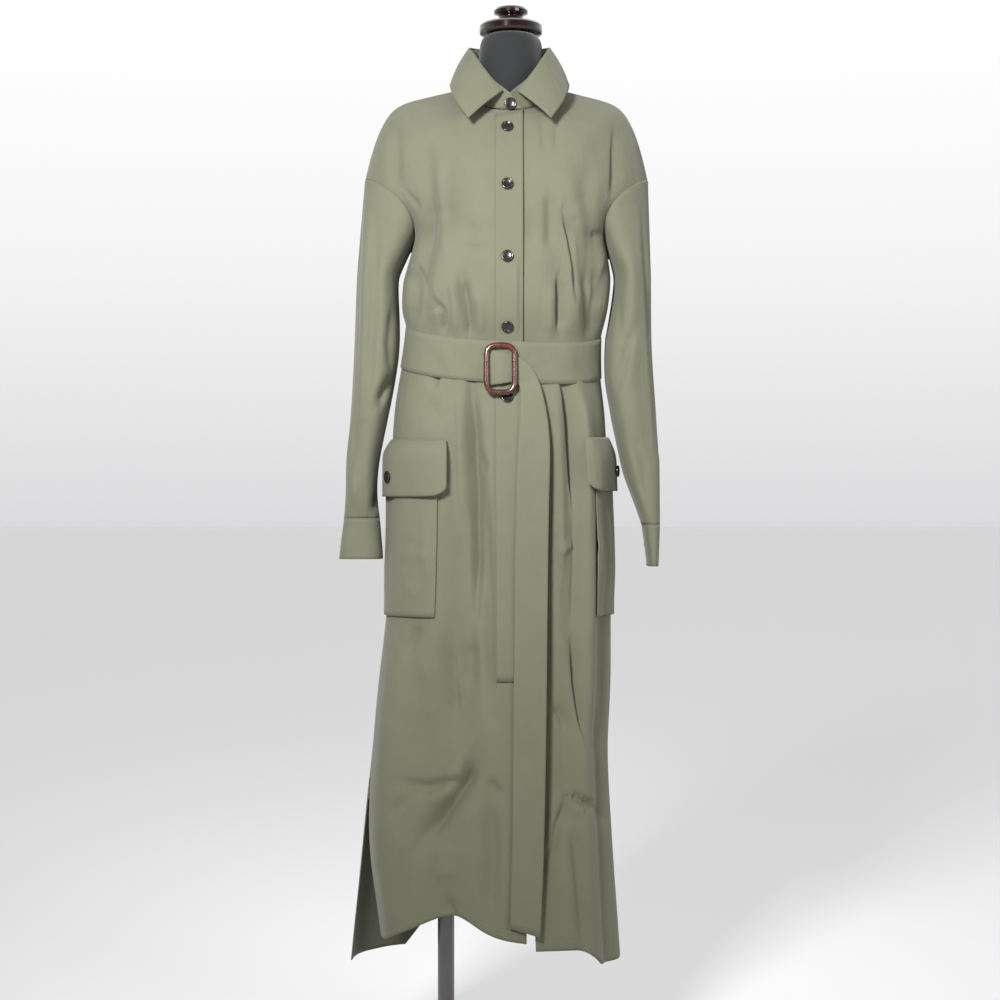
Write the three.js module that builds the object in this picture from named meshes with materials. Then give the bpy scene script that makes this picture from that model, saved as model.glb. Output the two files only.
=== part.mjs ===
// A long cotton shirt dress, belted and buttoned, worn on a limbless dress form on a stand.
// Millimetres, +Z up, the front faces -Y. The origin is on the floor at the centre of the round base.
// "Right" and "left" in the pieces' names are the wearer's: the right half lies at negative X.
import * as THREE from "three";

// Driving dimensions
const CLOTH = 1.6; // wall of one cloth piece, with its turned edges
const SEAM = 0.5; // gap between two pieces at a seam
const LAY = 0.8; // gap under a piece that lies on a panel
const UNDERARM_Z = 1191;
const HEM_Z = 184; // lowest row of the panels before the hem's own wave
const BELT_WIDTH = 60;
const BELT_TOP_Z = 1070; // at the sides: the belt dips in front
const OVERLAP_EDGE_X = 19; // edge of the upper front over the button line
const UNDERLAP_EDGE_X = -12;
const PLACKET_WIDTH = 39;
const PLACKET_END_Z = 560; // the front is open below this
const SLIT_TOP_Z = 455; // the side seams are open below this
const BUTTON_DIAMETER = 17;
const POLE_X = -92; // the pole stands beside the button line
const POLE_RADIUS = 12;
const TORSO_BOTTOM_Z = 770;
const NECK_TOP_Z = 1500;

const rad = THREE.MathUtils.degToRad;
const V = (x, y, z) => new THREE.Vector3(x, y, z);
const mix = (a, b, t) => a + (b - a) * t;
const soft = (t) => THREE.MathUtils.smoothstep(t, 0, 1);
const bell = (t) => Math.exp(-t * t);

// Catmull-Rom value of a named column at a height, from rows that go down in z.
function column(rows, name, z) {
  const last = rows.length - 1;
  if (z >= rows[0].z) return rows[0][name];
  if (z <= rows[last].z) return rows[last][name];
  const k = rows.findIndex((row) => row.z <= z) - 1;
  const value = (n) => rows[THREE.MathUtils.clamp(n, 0, last)][name];
  const t = (rows[k].z - z) / (rows[k].z - rows[k + 1].z);
  const [p0, p1, p2, p3] = [value(k - 1), value(k), value(k + 1), value(k + 2)];
  const tangentA = (p2 - p0) / 2;
  const tangentB = (p3 - p1) / 2;
  const flat = (2 * p1 - 2 * p2 + tangentA + tangentB) * t ** 3;
  return flat + (-3 * p1 + 3 * p2 - 2 * tangentA - tangentB) * t ** 2 + tangentA * t + p1;
}

// Sections of the trunk: reach to each side of the button line for the front and the back panel,
// depth before and behind, how far the section dips in front, and how far it tilts down to the left.
const TRUNK = [
  { z: 1191, frontRight: 139, frontLeft: 139, backRight: 139, backLeft: 139, front: 120, back: 104, dip: 0, tilt: 0 },
  { z: 1150, frontRight: 150, frontLeft: 147, backRight: 150, backLeft: 147, front: 126, back: 108, dip: 0, tilt: 0 },
  { z: 1110, frontRight: 156, frontLeft: 143, backRight: 156, backLeft: 143, front: 126, back: 110, dip: 3, tilt: 2 },
  { z: 1086, frontRight: 155, frontLeft: 138, backRight: 155, backLeft: 138, front: 119, back: 106, dip: 12, tilt: 5 },
  { z: 1070, frontRight: 148, frontLeft: 131, backRight: 148, backLeft: 131, front: 106, back: 94, dip: 22, tilt: 8 },
  { z: 1010, frontRight: 156, frontLeft: 131, backRight: 156, backLeft: 131, front: 102, back: 92, dip: 22, tilt: 8 },
  { z: 985, frontRight: 164, frontLeft: 136, backRight: 164, backLeft: 136, front: 110, back: 102, dip: 14, tilt: 5 },
  { z: 905, frontRight: 170, frontLeft: 140, backRight: 170, backLeft: 140, front: 117, back: 114, dip: 2, tilt: 0 },
  { z: 828, frontRight: 171, frontLeft: 143, backRight: 171, backLeft: 143, front: 119, back: 116, dip: 0, tilt: 0 },
  { z: 755, frontRight: 172, frontLeft: 146, backRight: 172, backLeft: 146, front: 119, back: 116, dip: 0, tilt: 0 },
  { z: 661, frontRight: 178, frontLeft: 147, backRight: 178, backLeft: 147, front: 120, back: 116, dip: 0, tilt: 0 },
  { z: 560, frontRight: 190, frontLeft: 145, backRight: 190, backLeft: 147, front: 121, back: 116, dip: 0, tilt: 0 },
  { z: 455, frontRight: 199, frontLeft: 142, backRight: 200, backLeft: 142, front: 122, back: 118, dip: 0, tilt: 0 },
  { z: 360, frontRight: 204, frontLeft: 147, backRight: 210, backLeft: 146, front: 124, back: 120, dip: 0, tilt: 0 },
  { z: 290, frontRight: 200, frontLeft: 152, backRight: 218, backLeft: 150, front: 126, back: 121, dip: 0, tilt: 0 },
  { z: 184, frontRight: 186, frontLeft: 160, backRight: 230, backLeft: 152, front: 130, back: 123, dip: 0, tilt: 0 },
];

// Folds of the trunk: angle round it at the top and at the bottom (0 is the button line, minus is
// the wearer's right), heights that they run between, how far they stand out, and half their width.
const FOLDS = [
  { top: -56, bottom: -50, from: 1270, to: 1072, out: -12, wide: 7 },
  { top: -40, bottom: -34, from: 1255, to: 1072, out: 7, wide: 6 },
  { top: -24, bottom: -20, from: 1250, to: 1072, out: -6, wide: 6 },
  { top: 24, bottom: 22, from: 1250, to: 1072, out: -6, wide: 6 },
  { top: 42, bottom: 34, from: 1255, to: 1072, out: 6, wide: 6 },
  { top: 57, bottom: 48, from: 1260, to: 1072, out: -8, wide: 6 },
  { top: -150, bottom: -152, from: 1270, to: 1072, out: -9, wide: 9 },
  { top: -172, bottom: -172, from: 1270, to: 1072, out: 7, wide: 8 },
  { top: 165, bottom: 166, from: 1270, to: 1072, out: -8, wide: 8 },
  { top: 146, bottom: 148, from: 1270, to: 1072, out: 7, wide: 8 },
  { top: 124, bottom: 128, from: 1270, to: 1072, out: -7, wide: 8 },
  { top: -16, bottom: -15, from: 1008, to: 430, out: -15, wide: 6 },
  { top: -30, bottom: -32, from: 1008, to: 560, out: 6, wide: 8 },
  { top: -28, bottom: -26, from: 620, to: 0, out: -15, wide: 12 },
  { top: -56, bottom: -54, from: 640, to: 0, out: 10, wide: 12 },
  { top: -3, bottom: -2, from: 700, to: 0, out: 7, wide: 8 },
  { top: 34, bottom: 26, from: 1008, to: 330, out: -11, wide: 6 },
  { top: 47, bottom: 38, from: 1008, to: 0, out: 9, wide: 7 },
  { top: 68, bottom: 60, from: 900, to: 0, out: -12, wide: 8 },
  { top: -160, bottom: -164, from: 1008, to: 0, out: -14, wide: 9 },
  { top: 178, bottom: 178, from: 1008, to: 0, out: 11, wide: 9 },
  { top: 156, bottom: 154, from: 1008, to: 0, out: -14, wide: 9 },
  { top: 134, bottom: 132, from: 1008, to: 0, out: 10, wide: 9 },
  { top: -138, bottom: -140, from: 1008, to: 0, out: 9, wide: 9 },
];
const FOLD_FADE = 90; // height over which a fold starts and ends
const BOXY = 0.78; // below 1, the section is fuller at its corners than an ellipse

const turn = (degrees) => ((((degrees + 180) % 360) + 360) % 360) - 180;
const full = (v) => Math.sign(v) * Math.abs(v) ** BOXY;

function foldHeight(angle, z) {
  let sum = 0;
  for (const f of FOLDS) {
    const along = THREE.MathUtils.clamp((f.from - z) / (f.from - f.to), 0, 1);
    const away = turn(angle - mix(f.top, f.bottom, along)) / f.wide;
    const start = soft((f.from - z) / FOLD_FADE);
    const end = f.to > 0 ? soft((z - f.to) / FOLD_FADE) : 1;
    const pinched = f.from > BELT_TOP_Z ? soft((z - f.to) / (FOLD_FADE / 3)) : end;
    sum += f.out * bell(away) * start * pinched;
  }
  return sum;
}

// The hem's wave: it rises to an arch before the pole, hangs lower at the wearer's left, and behind
// it hangs low only beside the right slit.
function hemWave(angle, isFront) {
  if (!isFront) return -26 + 44 * (angle > 0 ? 1 : soft((-146 - angle) / 8));
  if (angle < 6) return 14 + 10 * soft((angle + 80) / 40) + 38 * bell((angle + 19) / (angle < -19 ? 26 : 13));
  return 14 - 28 * soft((angle - 30) / 25);
}

function trunkPoint(angle, z, isFront = Math.abs(angle) <= 90) {
  const side = (isFront ? "front" : "back") + (angle < 0 ? "Right" : "Left");
  const reach = column(TRUNK, side, z);
  const depth = column(TRUNK, isFront ? "front" : "back", z);
  const [s, c] = [Math.sin(rad(angle)), Math.cos(rad(angle))];
  const outward = V(s, -c, 0);
  const p = V(reach * full(s), -depth * full(c), z);
  p.addScaledVector(outward, foldHeight(angle, z));
  p.z -= column(TRUNK, "dip", z) * Math.max(0, c) + column(TRUNK, "tilt", z) * s;
  p.z += hemWave(angle, isFront) * soft((400 - z) / (400 - HEM_Z)) * Math.min(1, (400 - HEM_Z) / 216);
  return p;
}

// Angle at which the front's section at a height reaches an x near the button line.
function angleAt(x, z) {
  const reach = column(TRUNK, x < 0 ? "frontRight" : "frontLeft", z);
  return THREE.MathUtils.radToDeg(Math.asin(Math.sign(x) * (Math.abs(x) / reach) ** (1 / BOXY)));
}

// A cloth wall from a grid of points on its outer face: rows go up, columns run to the wearer's left
// in front and on round the back. settle(normal, row, column) can turn a vertex's own normal.
function wall(grid, thickness, closed = false, settle = (n) => n) {
  const rows = grid.length;
  const columns = grid[0].length;
  const at = (j, i) => grid[j][closed ? (i + columns) % columns : THREE.MathUtils.clamp(i, 0, columns - 1)];
  const positions = [];
  for (const layer of [0, 1]) {
    for (let j = 0; j < rows; j++) {
      for (let i = 0; i < columns; i++) {
        const across = at(j, i + 1).clone().sub(at(j, i - 1));
        const up = at(Math.min(j + 1, rows - 1), i).clone().sub(at(Math.max(j - 1, 0), i));
        const normal = settle(across.cross(up).normalize(), j, i).normalize();
        positions.push(...at(j, i).clone().addScaledVector(normal, -layer * thickness));
      }
    }
  }
  const id = (layer, j, i) => (layer * rows + j) * columns + (i % columns);
  const index = [];
  const quad = (a, b, c, d) => index.push(a, b, c, a, c, d);
  const spans = closed ? columns : columns - 1;
  for (let i = 0; i < spans; i++) {
    for (let j = 0; j < rows - 1; j++) {
      quad(id(0, j, i), id(0, j, i + 1), id(0, j + 1, i + 1), id(0, j + 1, i));
      quad(id(1, j, i), id(1, j + 1, i), id(1, j + 1, i + 1), id(1, j, i + 1));
    }
    quad(id(1, 0, i), id(1, 0, i + 1), id(0, 0, i + 1), id(0, 0, i));
    quad(id(0, rows - 1, i), id(0, rows - 1, i + 1), id(1, rows - 1, i + 1), id(1, rows - 1, i));
  }
  if (!closed) {
    for (let j = 0; j < rows - 1; j++) {
      quad(id(1, j, 0), id(0, j, 0), id(0, j + 1, 0), id(1, j + 1, 0));
      const e = columns - 1;
      quad(id(0, j, e), id(1, j, e), id(1, j + 1, e), id(0, j + 1, e));
    }
  }
  return new THREE.BufferGeometry()
    .setAttribute("position", new THREE.BufferAttribute(new Float32Array(positions), 3))
    .setIndex(index);
}

const count = (n) => [...Array(n).keys()];
const steps = (n) => count(n + 1).map((k) => k / n);

// Heights of the trunk's rows, from the hem up to the underarm. Two of them are the belt's edges.
const ROW_HEIGHTS = [
  ...steps(17).map((t) => mix(HEM_Z, BELT_TOP_Z - BELT_WIDTH, t)),
  BELT_TOP_Z - BELT_WIDTH / 2,
  BELT_TOP_Z,
  1086,
  1112,
  1150,
  UNDERARM_Z,
];
const UPPER_ROWS = 8;

// Armhole seam of one side: a slanted ellipse round the arm, from the underarm (-90 degrees) by the
// front (0) to the top of the sleeve (90) and by the back to the underarm again.
const ARMHOLE = { z: 1240, riseZ: 49, frontX: -26, frontY: -70, frontZ: 3, under: 137 };
const SHOULDER_RIGHT = 209; // reach of the sleeve seam's top: the left shoulder sits further in
const SHOULDER_LEFT = 200;

function armholePoint(side, angle) {
  const [s, c] = [Math.sin(rad(angle)), Math.cos(rad(angle))];
  const top = side < 0 ? SHOULDER_RIGHT : SHOULDER_LEFT;
  const x = mix(ARMHOLE.under, top, (1 + s) / 2) + ARMHOLE.frontX * c * Math.abs(c);
  return V(side * x, ARMHOLE.frontY * c, ARMHOLE.z + ARMHOLE.riseZ * s + ARMHOLE.frontZ * c);
}

const NECK_POINT = { x: 70, y: 10, z: 1422 };
const NECK_PIT = { y: -72, z: 1376 };
const NECK_BACK = { y: 66, z: 1434 };

// Shoulder seam of one side, from the neck to the top of the sleeve.
function shoulderSeam(side) {
  const bend = [
    V(NECK_POINT.x, NECK_POINT.y, NECK_POINT.z),
    V(118, 7, 1410),
    V(150, 4, 1401),
    V(168, 3, 1391),
    V(186, 2, 1364),
    V(200, 1, 1325),
  ];
  const share = side < 0 ? 1 : (SHOULDER_LEFT - NECK_POINT.x) / (SHOULDER_RIGHT - NECK_POINT.x);
  for (const p of bend) p.x = side * (NECK_POINT.x + (p.x - NECK_POINT.x) * share);
  return new THREE.CatmullRomCurve3([...bend, armholePoint(side, 90)], false, "centripetal");
}

// Neckline of a front, from its edge past the pit (0) to the neck point (1).
function frontNeckline(side, edgeX, t) {
  const angle = mix(Math.asin((side * edgeX) / NECK_POINT.x), Math.PI / 2, t);
  const [s, c] = [Math.sin(angle), Math.cos(angle)];
  const y = mix(NECK_POINT.y, NECK_PIT.y, c);
  return V(side * NECK_POINT.x * s, y, mix(NECK_POINT.z, NECK_PIT.z, c));
}

function backNeckline(t) {
  const a = Math.PI * t;
  const lift = Math.sin(a);
  const y = mix(NECK_POINT.y, NECK_BACK.y, lift);
  return V(NECK_POINT.x * Math.cos(a), y, mix(NECK_POINT.z, NECK_BACK.z, lift));
}

// Front edge of a front panel above the underarm, up to the pit of the neck.
const FRONT_EDGE = [
  { z: 1376, y: -72 },
  { z: 1345, y: -86 },
  { z: 1300, y: -104 },
  { z: 1250, y: -115 },
  { z: 1191, y: -120 },
];

// A patch between four edges: the two side edges' own bend fades inwards, faster for a larger fade.
function coons(bottom, top, left, right, u, w, fade = 1) {
  const bend = (side, end) => side(w).clone().sub(bottom(end).clone().lerp(top(end), w));
  const p = bottom(u).clone().lerp(top(u), w);
  return p.addScaledVector(bend(left, 0), (1 - u) ** fade).addScaledVector(bend(right, 1), u ** fade);
}

// How far the lower front is drawn in where the upper one lies on it.
const tuck = (x, z) => -(CLOTH + SEAM + (z > UNDERARM_Z ? 2.6 : 1)) * soft((48 - x) / 24);

const FRONT_COLUMNS = 16;
const EDGE_SHARE = 0.625; // share of the front edge's height in the upper patch that is button line

// One front, as a grid: side -1 is the wearer's right, whose edge lies on top.
function frontGrid(side) {
  const isOver = side < 0;
  const edgeX = (z) => {
    const opened = soft((PLACKET_END_Z - z) / (PLACKET_END_Z - HEM_Z));
    return isOver ? mix(OVERLAP_EDGE_X, 23, opened) : mix(UNDERLAP_EDGE_X, 36, opened);
  };
  const shift = (p) => {
    if (!isOver) p.y -= tuck(p.x, p.z);
    p.y -= SEAM / 2;
    return p;
  };
  const lower = ROW_HEIGHTS.map((z) => {
    const edge = angleAt(edgeX(z), z);
    const [a, b] = isOver ? [-90, edge] : [edge, 90];
    return steps(FRONT_COLUMNS).map((t) => trunkPoint(mix(a, b, t), z, true));
  });
  // The upper patch is laid from the side seam (0) to the front edge (1).
  const topRow = lower[lower.length - 1];
  const bottom = (u) => {
    const k = (isOver ? u : 1 - u) * FRONT_COLUMNS;
    const i = Math.min(Math.floor(k), FRONT_COLUMNS - 1);
    return topRow[i].clone().lerp(topRow[i + 1], k - i);
  };
  const seam = shoulderSeam(side);
  const top = (u) => seam.getPointAt(1 - u);
  const outer = (w) => armholePoint(side, mix(-90, 90, w));
  const inner = (w) => {
    if (w > EDGE_SHARE) return frontNeckline(side, edgeX(UNDERARM_Z), (w - EDGE_SHARE) / (1 - EDGE_SHARE));
    const start = frontNeckline(side, edgeX(UNDERARM_Z), 0);
    const z = mix(UNDERARM_Z, start.z, w / EDGE_SHARE);
    const rest = (start.y - NECK_PIT.y) * (w / EDGE_SHARE) ** 3;
    return V(edgeX(UNDERARM_Z), column(FRONT_EDGE, "y", z) + rest, z);
  };
  const upper = steps(UPPER_ROWS).slice(1).map((w) =>
    steps(FRONT_COLUMNS).map((t) => {
      const p = coons(bottom, top, outer, inner, isOver ? t : 1 - t, w);
      const angle = THREE.MathUtils.radToDeg(Math.atan2(p.x, -p.y + 40));
      const fading = soft((1 - w) / 0.6) * soft((isOver ? t : 1 - t) * 4);
      p.y -= foldHeight(angle, Math.min(p.z, 1269)) * fading;
      return p;
    }),
  );
  return [...lower, ...upper].map((row) => row.map(shift));
}

// Normals on the side seam and the shoulder seam have no part along Y, so that the walls of the two
// panels that meet there stay side by side.
function seamNormals(lastRow, sideColumns) {
  return (n, j, i) => (j === lastRow || sideColumns.includes(i) ? n.setY(n.y * 0.08) : n);
}

const BACK_COLUMNS = 20;
const SHOULDER_COLUMNS = 6;

function backGrid() {
  const turnOf = (t) => mix(90, 270, t);
  const lower = ROW_HEIGHTS.map((z) => steps(BACK_COLUMNS).map((t) => trunkPoint(turn(turnOf(t)), z, false)));
  for (const [j, z] of ROW_HEIGHTS.entries()) {
    lower[j][0] = trunkPoint(90, z, false);
    lower[j][BACK_COLUMNS] = trunkPoint(-90, z, false);
  }
  const topRow = lower[lower.length - 1];
  const bottom = (u) => {
    const k = u * BACK_COLUMNS;
    const i = Math.min(Math.floor(k), BACK_COLUMNS - 1);
    return topRow[i].clone().lerp(topRow[i + 1], k - i);
  };
  const share = SHOULDER_COLUMNS / BACK_COLUMNS;
  const [leftSeam, rightSeam] = [shoulderSeam(1), shoulderSeam(-1)];
  const top = (u) => {
    const along = THREE.MathUtils.clamp((u - share) / (1 - 2 * share), 0, 1);
    if (along === 0) return leftSeam.getPointAt(Math.max(0, 1 - u / share));
    if (along === 1) return rightSeam.getPointAt(Math.max(0, (u - 1 + share) / share));
    return backNeckline(along);
  };
  const left = (w) => armholePoint(1, mix(270, 90, w));
  const right = (w) => armholePoint(-1, mix(270, 90, w));
  const upper = steps(UPPER_ROWS).slice(1).map((w) =>
    steps(BACK_COLUMNS).map((u) => {
      const p = coons(bottom, top, left, right, u, w, 2.4);
      p.y += 8 * Math.sin(Math.PI * w) * soft(u * 4) * soft((1 - u) * 4);
      // The folds of the underarm row die out sooner than the patch would carry them.
      p.y += foldHeight(turn(turnOf(u)), UNDERARM_Z) * ((1 - w) ** 4 - (1 - w)) * soft(u * 8) * soft((1 - u) * 8);
      return p;
    }),
  );
  return [...lower, ...upper].map((row) => row.map((p) => p.setY(p.y + SEAM / 2)));
}

// Sleeves: centre, half width seen from the front and half depth of each section down the arm.
const SLEEVE_RIGHT = [
  { z: 1145, x: 191, y: 0, wide: 29.5, deep: 72 },
  { z: 1045, x: 191, y: -4, wide: 32.5, deep: 66 },
  { z: 957, x: 200, y: -10, wide: 27.5, deep: 60 },
  { z: 870, x: 212, y: -16, wide: 22.5, deep: 52 },
  { z: 825, x: 213, y: -20, wide: 22, deep: 44 },
  { z: 799, x: 212.5, y: -22, wide: 26, deep: 31 },
  { z: 741, x: 213.5, y: -24, wide: 32, deep: 30 },
];
const SLEEVE_LEFT = [
  { z: 1145, x: 178, y: 0, wide: 26, deep: 72 },
  { z: 1045, x: 172, y: -4, wide: 32.5, deep: 66 },
  { z: 970, x: 176, y: -8, wide: 33.5, deep: 62 },
  { z: 855, x: 189.5, y: -16, wide: 25, deep: 54 },
  { z: 812, x: 199, y: -20, wide: 16.5, deep: 48 },
  { z: 790, x: 203, y: -22, wide: 13, deep: 42 },
  { z: 731, x: 205.5, y: -24, wide: 8, deep: 41 },
];
const SLEEVE_COLUMNS = 20;
const SLEEVE_ROWS = 11;
const SLEEVE_BLEND_ROWS = 4;
const CUFF_LENGTH_RIGHT = 58;
const CUFF_LENGTH_LEFT = 59;

// A few soft folds run down each sleeve, on its front and its back.
const SLEEVE_FOLDS = [
  { angle: 22, out: -7, wide: 20 },
  { angle: 68, out: 4, wide: 22 },
  { angle: 150, out: -6, wide: 22 },
  { angle: 205, out: 5, wide: 20 },
];

function sleeveSection(side, rows, z, angle) {
  const value = (name) => column(rows, name, z);
  const [s, c] = [Math.sin(rad(angle)), Math.cos(rad(angle))];
  const ease = soft((z - rows[5].z) / 120);
  let bulge = 0;
  for (const f of SLEEVE_FOLDS) bulge += f.out * bell(turn(angle - f.angle) / f.wide) * ease;
  const x = value("x") + (value("wide") + bulge) * full(s);
  return V(side * x, value("y") - (value("deep") + bulge) * full(c), z);
}

// Columns of a sleeve run counter-clockwise seen from above, as on every closed wall here.
const sleeveAngle = (side, i) => -90 + (side * 360 * i) / SLEEVE_COLUMNS;

function sleeveGrid(side, rows) {
  const endZ = rows[5].z;
  const startZ = rows[0].z;
  const plain = steps(SLEEVE_ROWS - 1).map((t) => {
    const z = mix(endZ, startZ, t);
    return count(SLEEVE_COLUMNS).map((i) => sleeveSection(side, rows, z, sleeveAngle(side, i)));
  });
  const blended = steps(SLEEVE_BLEND_ROWS).slice(1).map((t) =>
    count(SLEEVE_COLUMNS).map((i) => {
      const angle = sleeveAngle(side, i);
      const from = sleeveSection(side, rows, startZ, angle);
      const part = 1.35 + 1.4 * bell(turn(angle + 90) / 50);
      const to = armholePoint(side, angle).add(V(side * part, 0, -1.75));
      return from.lerp(to, t);
    }),
  );
  return [...plain, ...blended];
}

function cuffGrid(side, rows, length) {
  const [start, end] = [rows[5].z - SEAM * 0.7, rows[6].z];
  return steps(3).map((t) =>
    count(SLEEVE_COLUMNS).map((i) => {
      const p = sleeveSection(side, rows, mix(end, start, t), sleeveAngle(side, i));
      p.z = start - length * (1 - t);
      return p;
    }),
  );
}

// A piece that lies on the trunk: its points are the trunk's, moved out along their own direction.
function onTrunk(angle, z, out) {
  const isFront = Math.abs(angle) <= 90;
  const p = trunkPoint(angle, z, isFront);
  p.y += (isFront ? -1 : 1) * (SEAM / 2);
  const a = trunkPoint(turn(angle - 1.5), z, Math.abs(turn(angle - 1.5)) <= 90);
  const b = trunkPoint(turn(angle + 1.5), z, Math.abs(turn(angle + 1.5)) <= 90);
  const across = b.sub(a).setZ(0).normalize();
  return p.addScaledVector(V(across.y, -across.x, 0), out);
}

// The belt round the waist, on the panels' own columns.
function beltGrid() {
  const rightEdge = angleAt(OVERLAP_EDGE_X, BELT_TOP_Z);
  const angles = [
    ...steps(FRONT_COLUMNS).map((t) => mix(-90, rightEdge, t)),
    ...steps(12).slice(1).map((t) => mix(rightEdge, 90, t)),
    ...steps(BACK_COLUMNS).slice(1, -1).map((t) => mix(90, 270, t)),
  ];
  const top = BELT_TOP_Z - 1;
  const heights = [top - BELT_WIDTH + 2, BELT_TOP_Z - BELT_WIDTH / 2, top];
  const lift = (a) => (CLOTH + SEAM) * soft((14 - Math.abs(a)) / 5);
  return heights.map((z) => angles.map((a) => onTrunk(turn(a), z, LAY + CLOTH + lift(turn(a)))));
}

// The belt's free end comes forward through the buckle, turns down and hangs before the skirt.
// Places of its middle line, half its width there, and the direction across it in degrees from +Z.
const BELT_END = [
  { x: -34, y: -108.8, z: 1010, half: 25, across: 0 },
  { x: -22, y: -111.4, z: 1010, half: 24, across: 0 },
  { x: -12, y: -113.6, z: 1009, half: 22, across: 0 },
  { x: -2, y: -111.9, z: 1009, half: 20, across: 0 },
  { x: 8, y: -110, z: 1007, half: 18, across: 6 },
  { x: 18, y: -109.9, z: 1002, half: 16, across: 26 },
  { x: 26, y: -110.8, z: 990, half: 14, across: 55 },
  { x: 30, y: -114.4, z: 970, half: 16, across: 78 },
  { x: 33, y: -118.4, z: 942, half: 19, across: 88 },
  { x: 33.5, y: -121.8, z: 902, half: 22.5, across: 90 },
  { x: 32, y: -122.8, z: 850, half: 23, across: 90 },
  { x: 30, y: -124.6, z: 740, half: 23, across: 90 },
  { x: 28.5, y: -129.4, z: 600, half: 23, across: 90 },
  { x: 27, y: -131, z: 450, half: 22.5, across: 90 },
  { x: 24.5, y: -134, z: 320, half: 22, across: 90 },
  { x: 20.8, y: -139.6, z: 226, half: 21.7, across: 107 },
];

function beltEndGrid() {
  const middle = new THREE.CatmullRomCurve3(BELT_END.map((p) => V(p.x, p.y, p.z)), false, "centripetal");
  const spans = BELT_END.length - 1;
  return steps(2 * spans).map((t) => {
    const k = Math.min(Math.floor(t * spans), spans - 1);
    const [a, b, part] = [BELT_END[k], BELT_END[k + 1], t * spans - k];
    const turned = rad(mix(a.across, b.across, part));
    const half = mix(a.half, b.half, part);
    const across = V(Math.sin(turned), 0, Math.cos(turned));
    const centre = middle.getPoint(t);
    return [-1, -0.5, 0, 0.5, 1].map((s) => {
      const cupped = 0.5 * s * s;
      return centre.clone().addScaledVector(across, s * half).add(V(0, cupped, 0));
    });
  });
}

// Buckle: a rounded rectangular frame with a middle bar.
const BUCKLE = { x: -13, y: -116.5, z: 1008, lean: -4, width: 48, height: 75, corner: 13, bar: 8.5, thick: 6 };

function roundedRectangle(width, height, corner, perCorner) {
  const points = [];
  for (const [k, [sx, sy]] of [[1, 1], [-1, 1], [-1, -1], [1, -1]].entries()) {
    for (const t of steps(perCorner)) {
      const a = (k + t) * (Math.PI / 2);
      const x = sx * (width / 2 - corner) + corner * Math.cos(a);
      points.push([x, sy * (height / 2 - corner) + corner * Math.sin(a)]);
    }
  }
  return points;
}

function buckleGeometry() {
  const middle = roundedRectangle(BUCKLE.width - BUCKLE.bar, BUCKLE.height - BUCKLE.bar, BUCKLE.corner, 5);
  const section = 6;
  const grid = middle.map(([x, z], k) => {
    const [px, pz] = middle[(k + middle.length - 1) % middle.length];
    const [nx, nz] = middle[(k + 1) % middle.length];
    const side = V(nz - pz, 0, px - nx).normalize();
    return count(section).map((i) => {
      const a = (2 * Math.PI * i) / section;
      const p = V(x, 0, z).addScaledVector(side, (BUCKLE.bar / 2) * Math.cos(a));
      return p.add(V(0, (-BUCKLE.thick / 2) * Math.sin(a), 0));
    });
  });
  const positions = grid.flat().flatMap((p) => [p.x, p.y, p.z]);
  const index = [];
  const id = (j, i) => (j % grid.length) * section + (i % section);
  for (const j of count(grid.length)) {
    for (const i of count(section)) {
      index.push(id(j, i), id(j + 1, i), id(j + 1, i + 1), id(j, i), id(j + 1, i + 1), id(j, i + 1));
    }
  }
  return new THREE.BufferGeometry()
    .setAttribute("position", new THREE.BufferAttribute(new Float32Array(positions), 3))
    .setIndex(index);
}

// Collar stand: its foot follows the panels' own neckline, and its top these stations from the front
// edge of the wearer's right round to the middle of the back. The second half mirrors the first.
const STAND = [
  { topX: 0, topY: -74, topZ: 1401 },
  { topX: 27, topY: -65.6, topZ: 1424 },
  { topX: 44.5, topY: -44.4, topZ: 1453 },
  { topX: 55, topY: -11.8, topZ: 1474 },
  { topX: 55, topY: 25.2, topZ: 1483 },
  { topX: 38.6, topY: 53.2, topZ: 1487 },
  { topX: 0, topY: 65.8, topZ: 1489 },
];
const STAND_COLUMNS = 12;
const STAND_LIFT = 2.4; // the stand's buttoned end stands off the other end by this much

// Half of a ring of stations as a smooth curve, from the front (0) to the back (1).
function stationCurve(stations, name, side) {
  const points = stations.map((s) => V(side * s[name + "X"], s[name + "Y"], s[name + "Z"]));
  return new THREE.CatmullRomCurve3(points, false, "centripetal");
}

function ringPoint(stations, name, t) {
  const side = t < 0.5 ? -1 : 1;
  return stationCurve(stations, name, side).getPoint(t < 0.5 ? 2 * t : 2 - 2 * t);
}

// The neckline of the upper front, the back and the lower front, without the shared seam points.
function neckEdge(right, back, left) {
  const nearRight = right.slice(-4).map((row) => row[FRONT_COLUMNS]);
  const behind = back[back.length - 1].slice(SHOULDER_COLUMNS, BACK_COLUMNS - SHOULDER_COLUMNS + 1).reverse();
  const nearLeft = left.slice(-4).map((row) => row[0]).reverse();
  return [...nearRight, ...behind.slice(1, -1), ...nearLeft];
}

function standGrid(edge) {
  const curve = new THREE.CurvePath();
  edge.slice(1).forEach((p, k) => curve.add(new THREE.LineCurve3(edge[k], p)));
  const lengths = [0, ...curve.getCurveLengths()];
  const whole = lengths[lengths.length - 1];
  const shares = lengths.flatMap((d, k) => (k ? [(lengths[k - 1] + d) / 2, d] : [d])).map((d) => d / whole);
  return steps(2).map((w) =>
    shares.map((t) => {
      const foot = curve.getPoint(t).add(V(0, -STAND_LIFT * soft((0.1 - t) / 0.06), SEAM + 0.3));
      return foot.lerp(ringPoint(STAND, "top", t), w);
    }).reverse(),
  );
}

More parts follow.
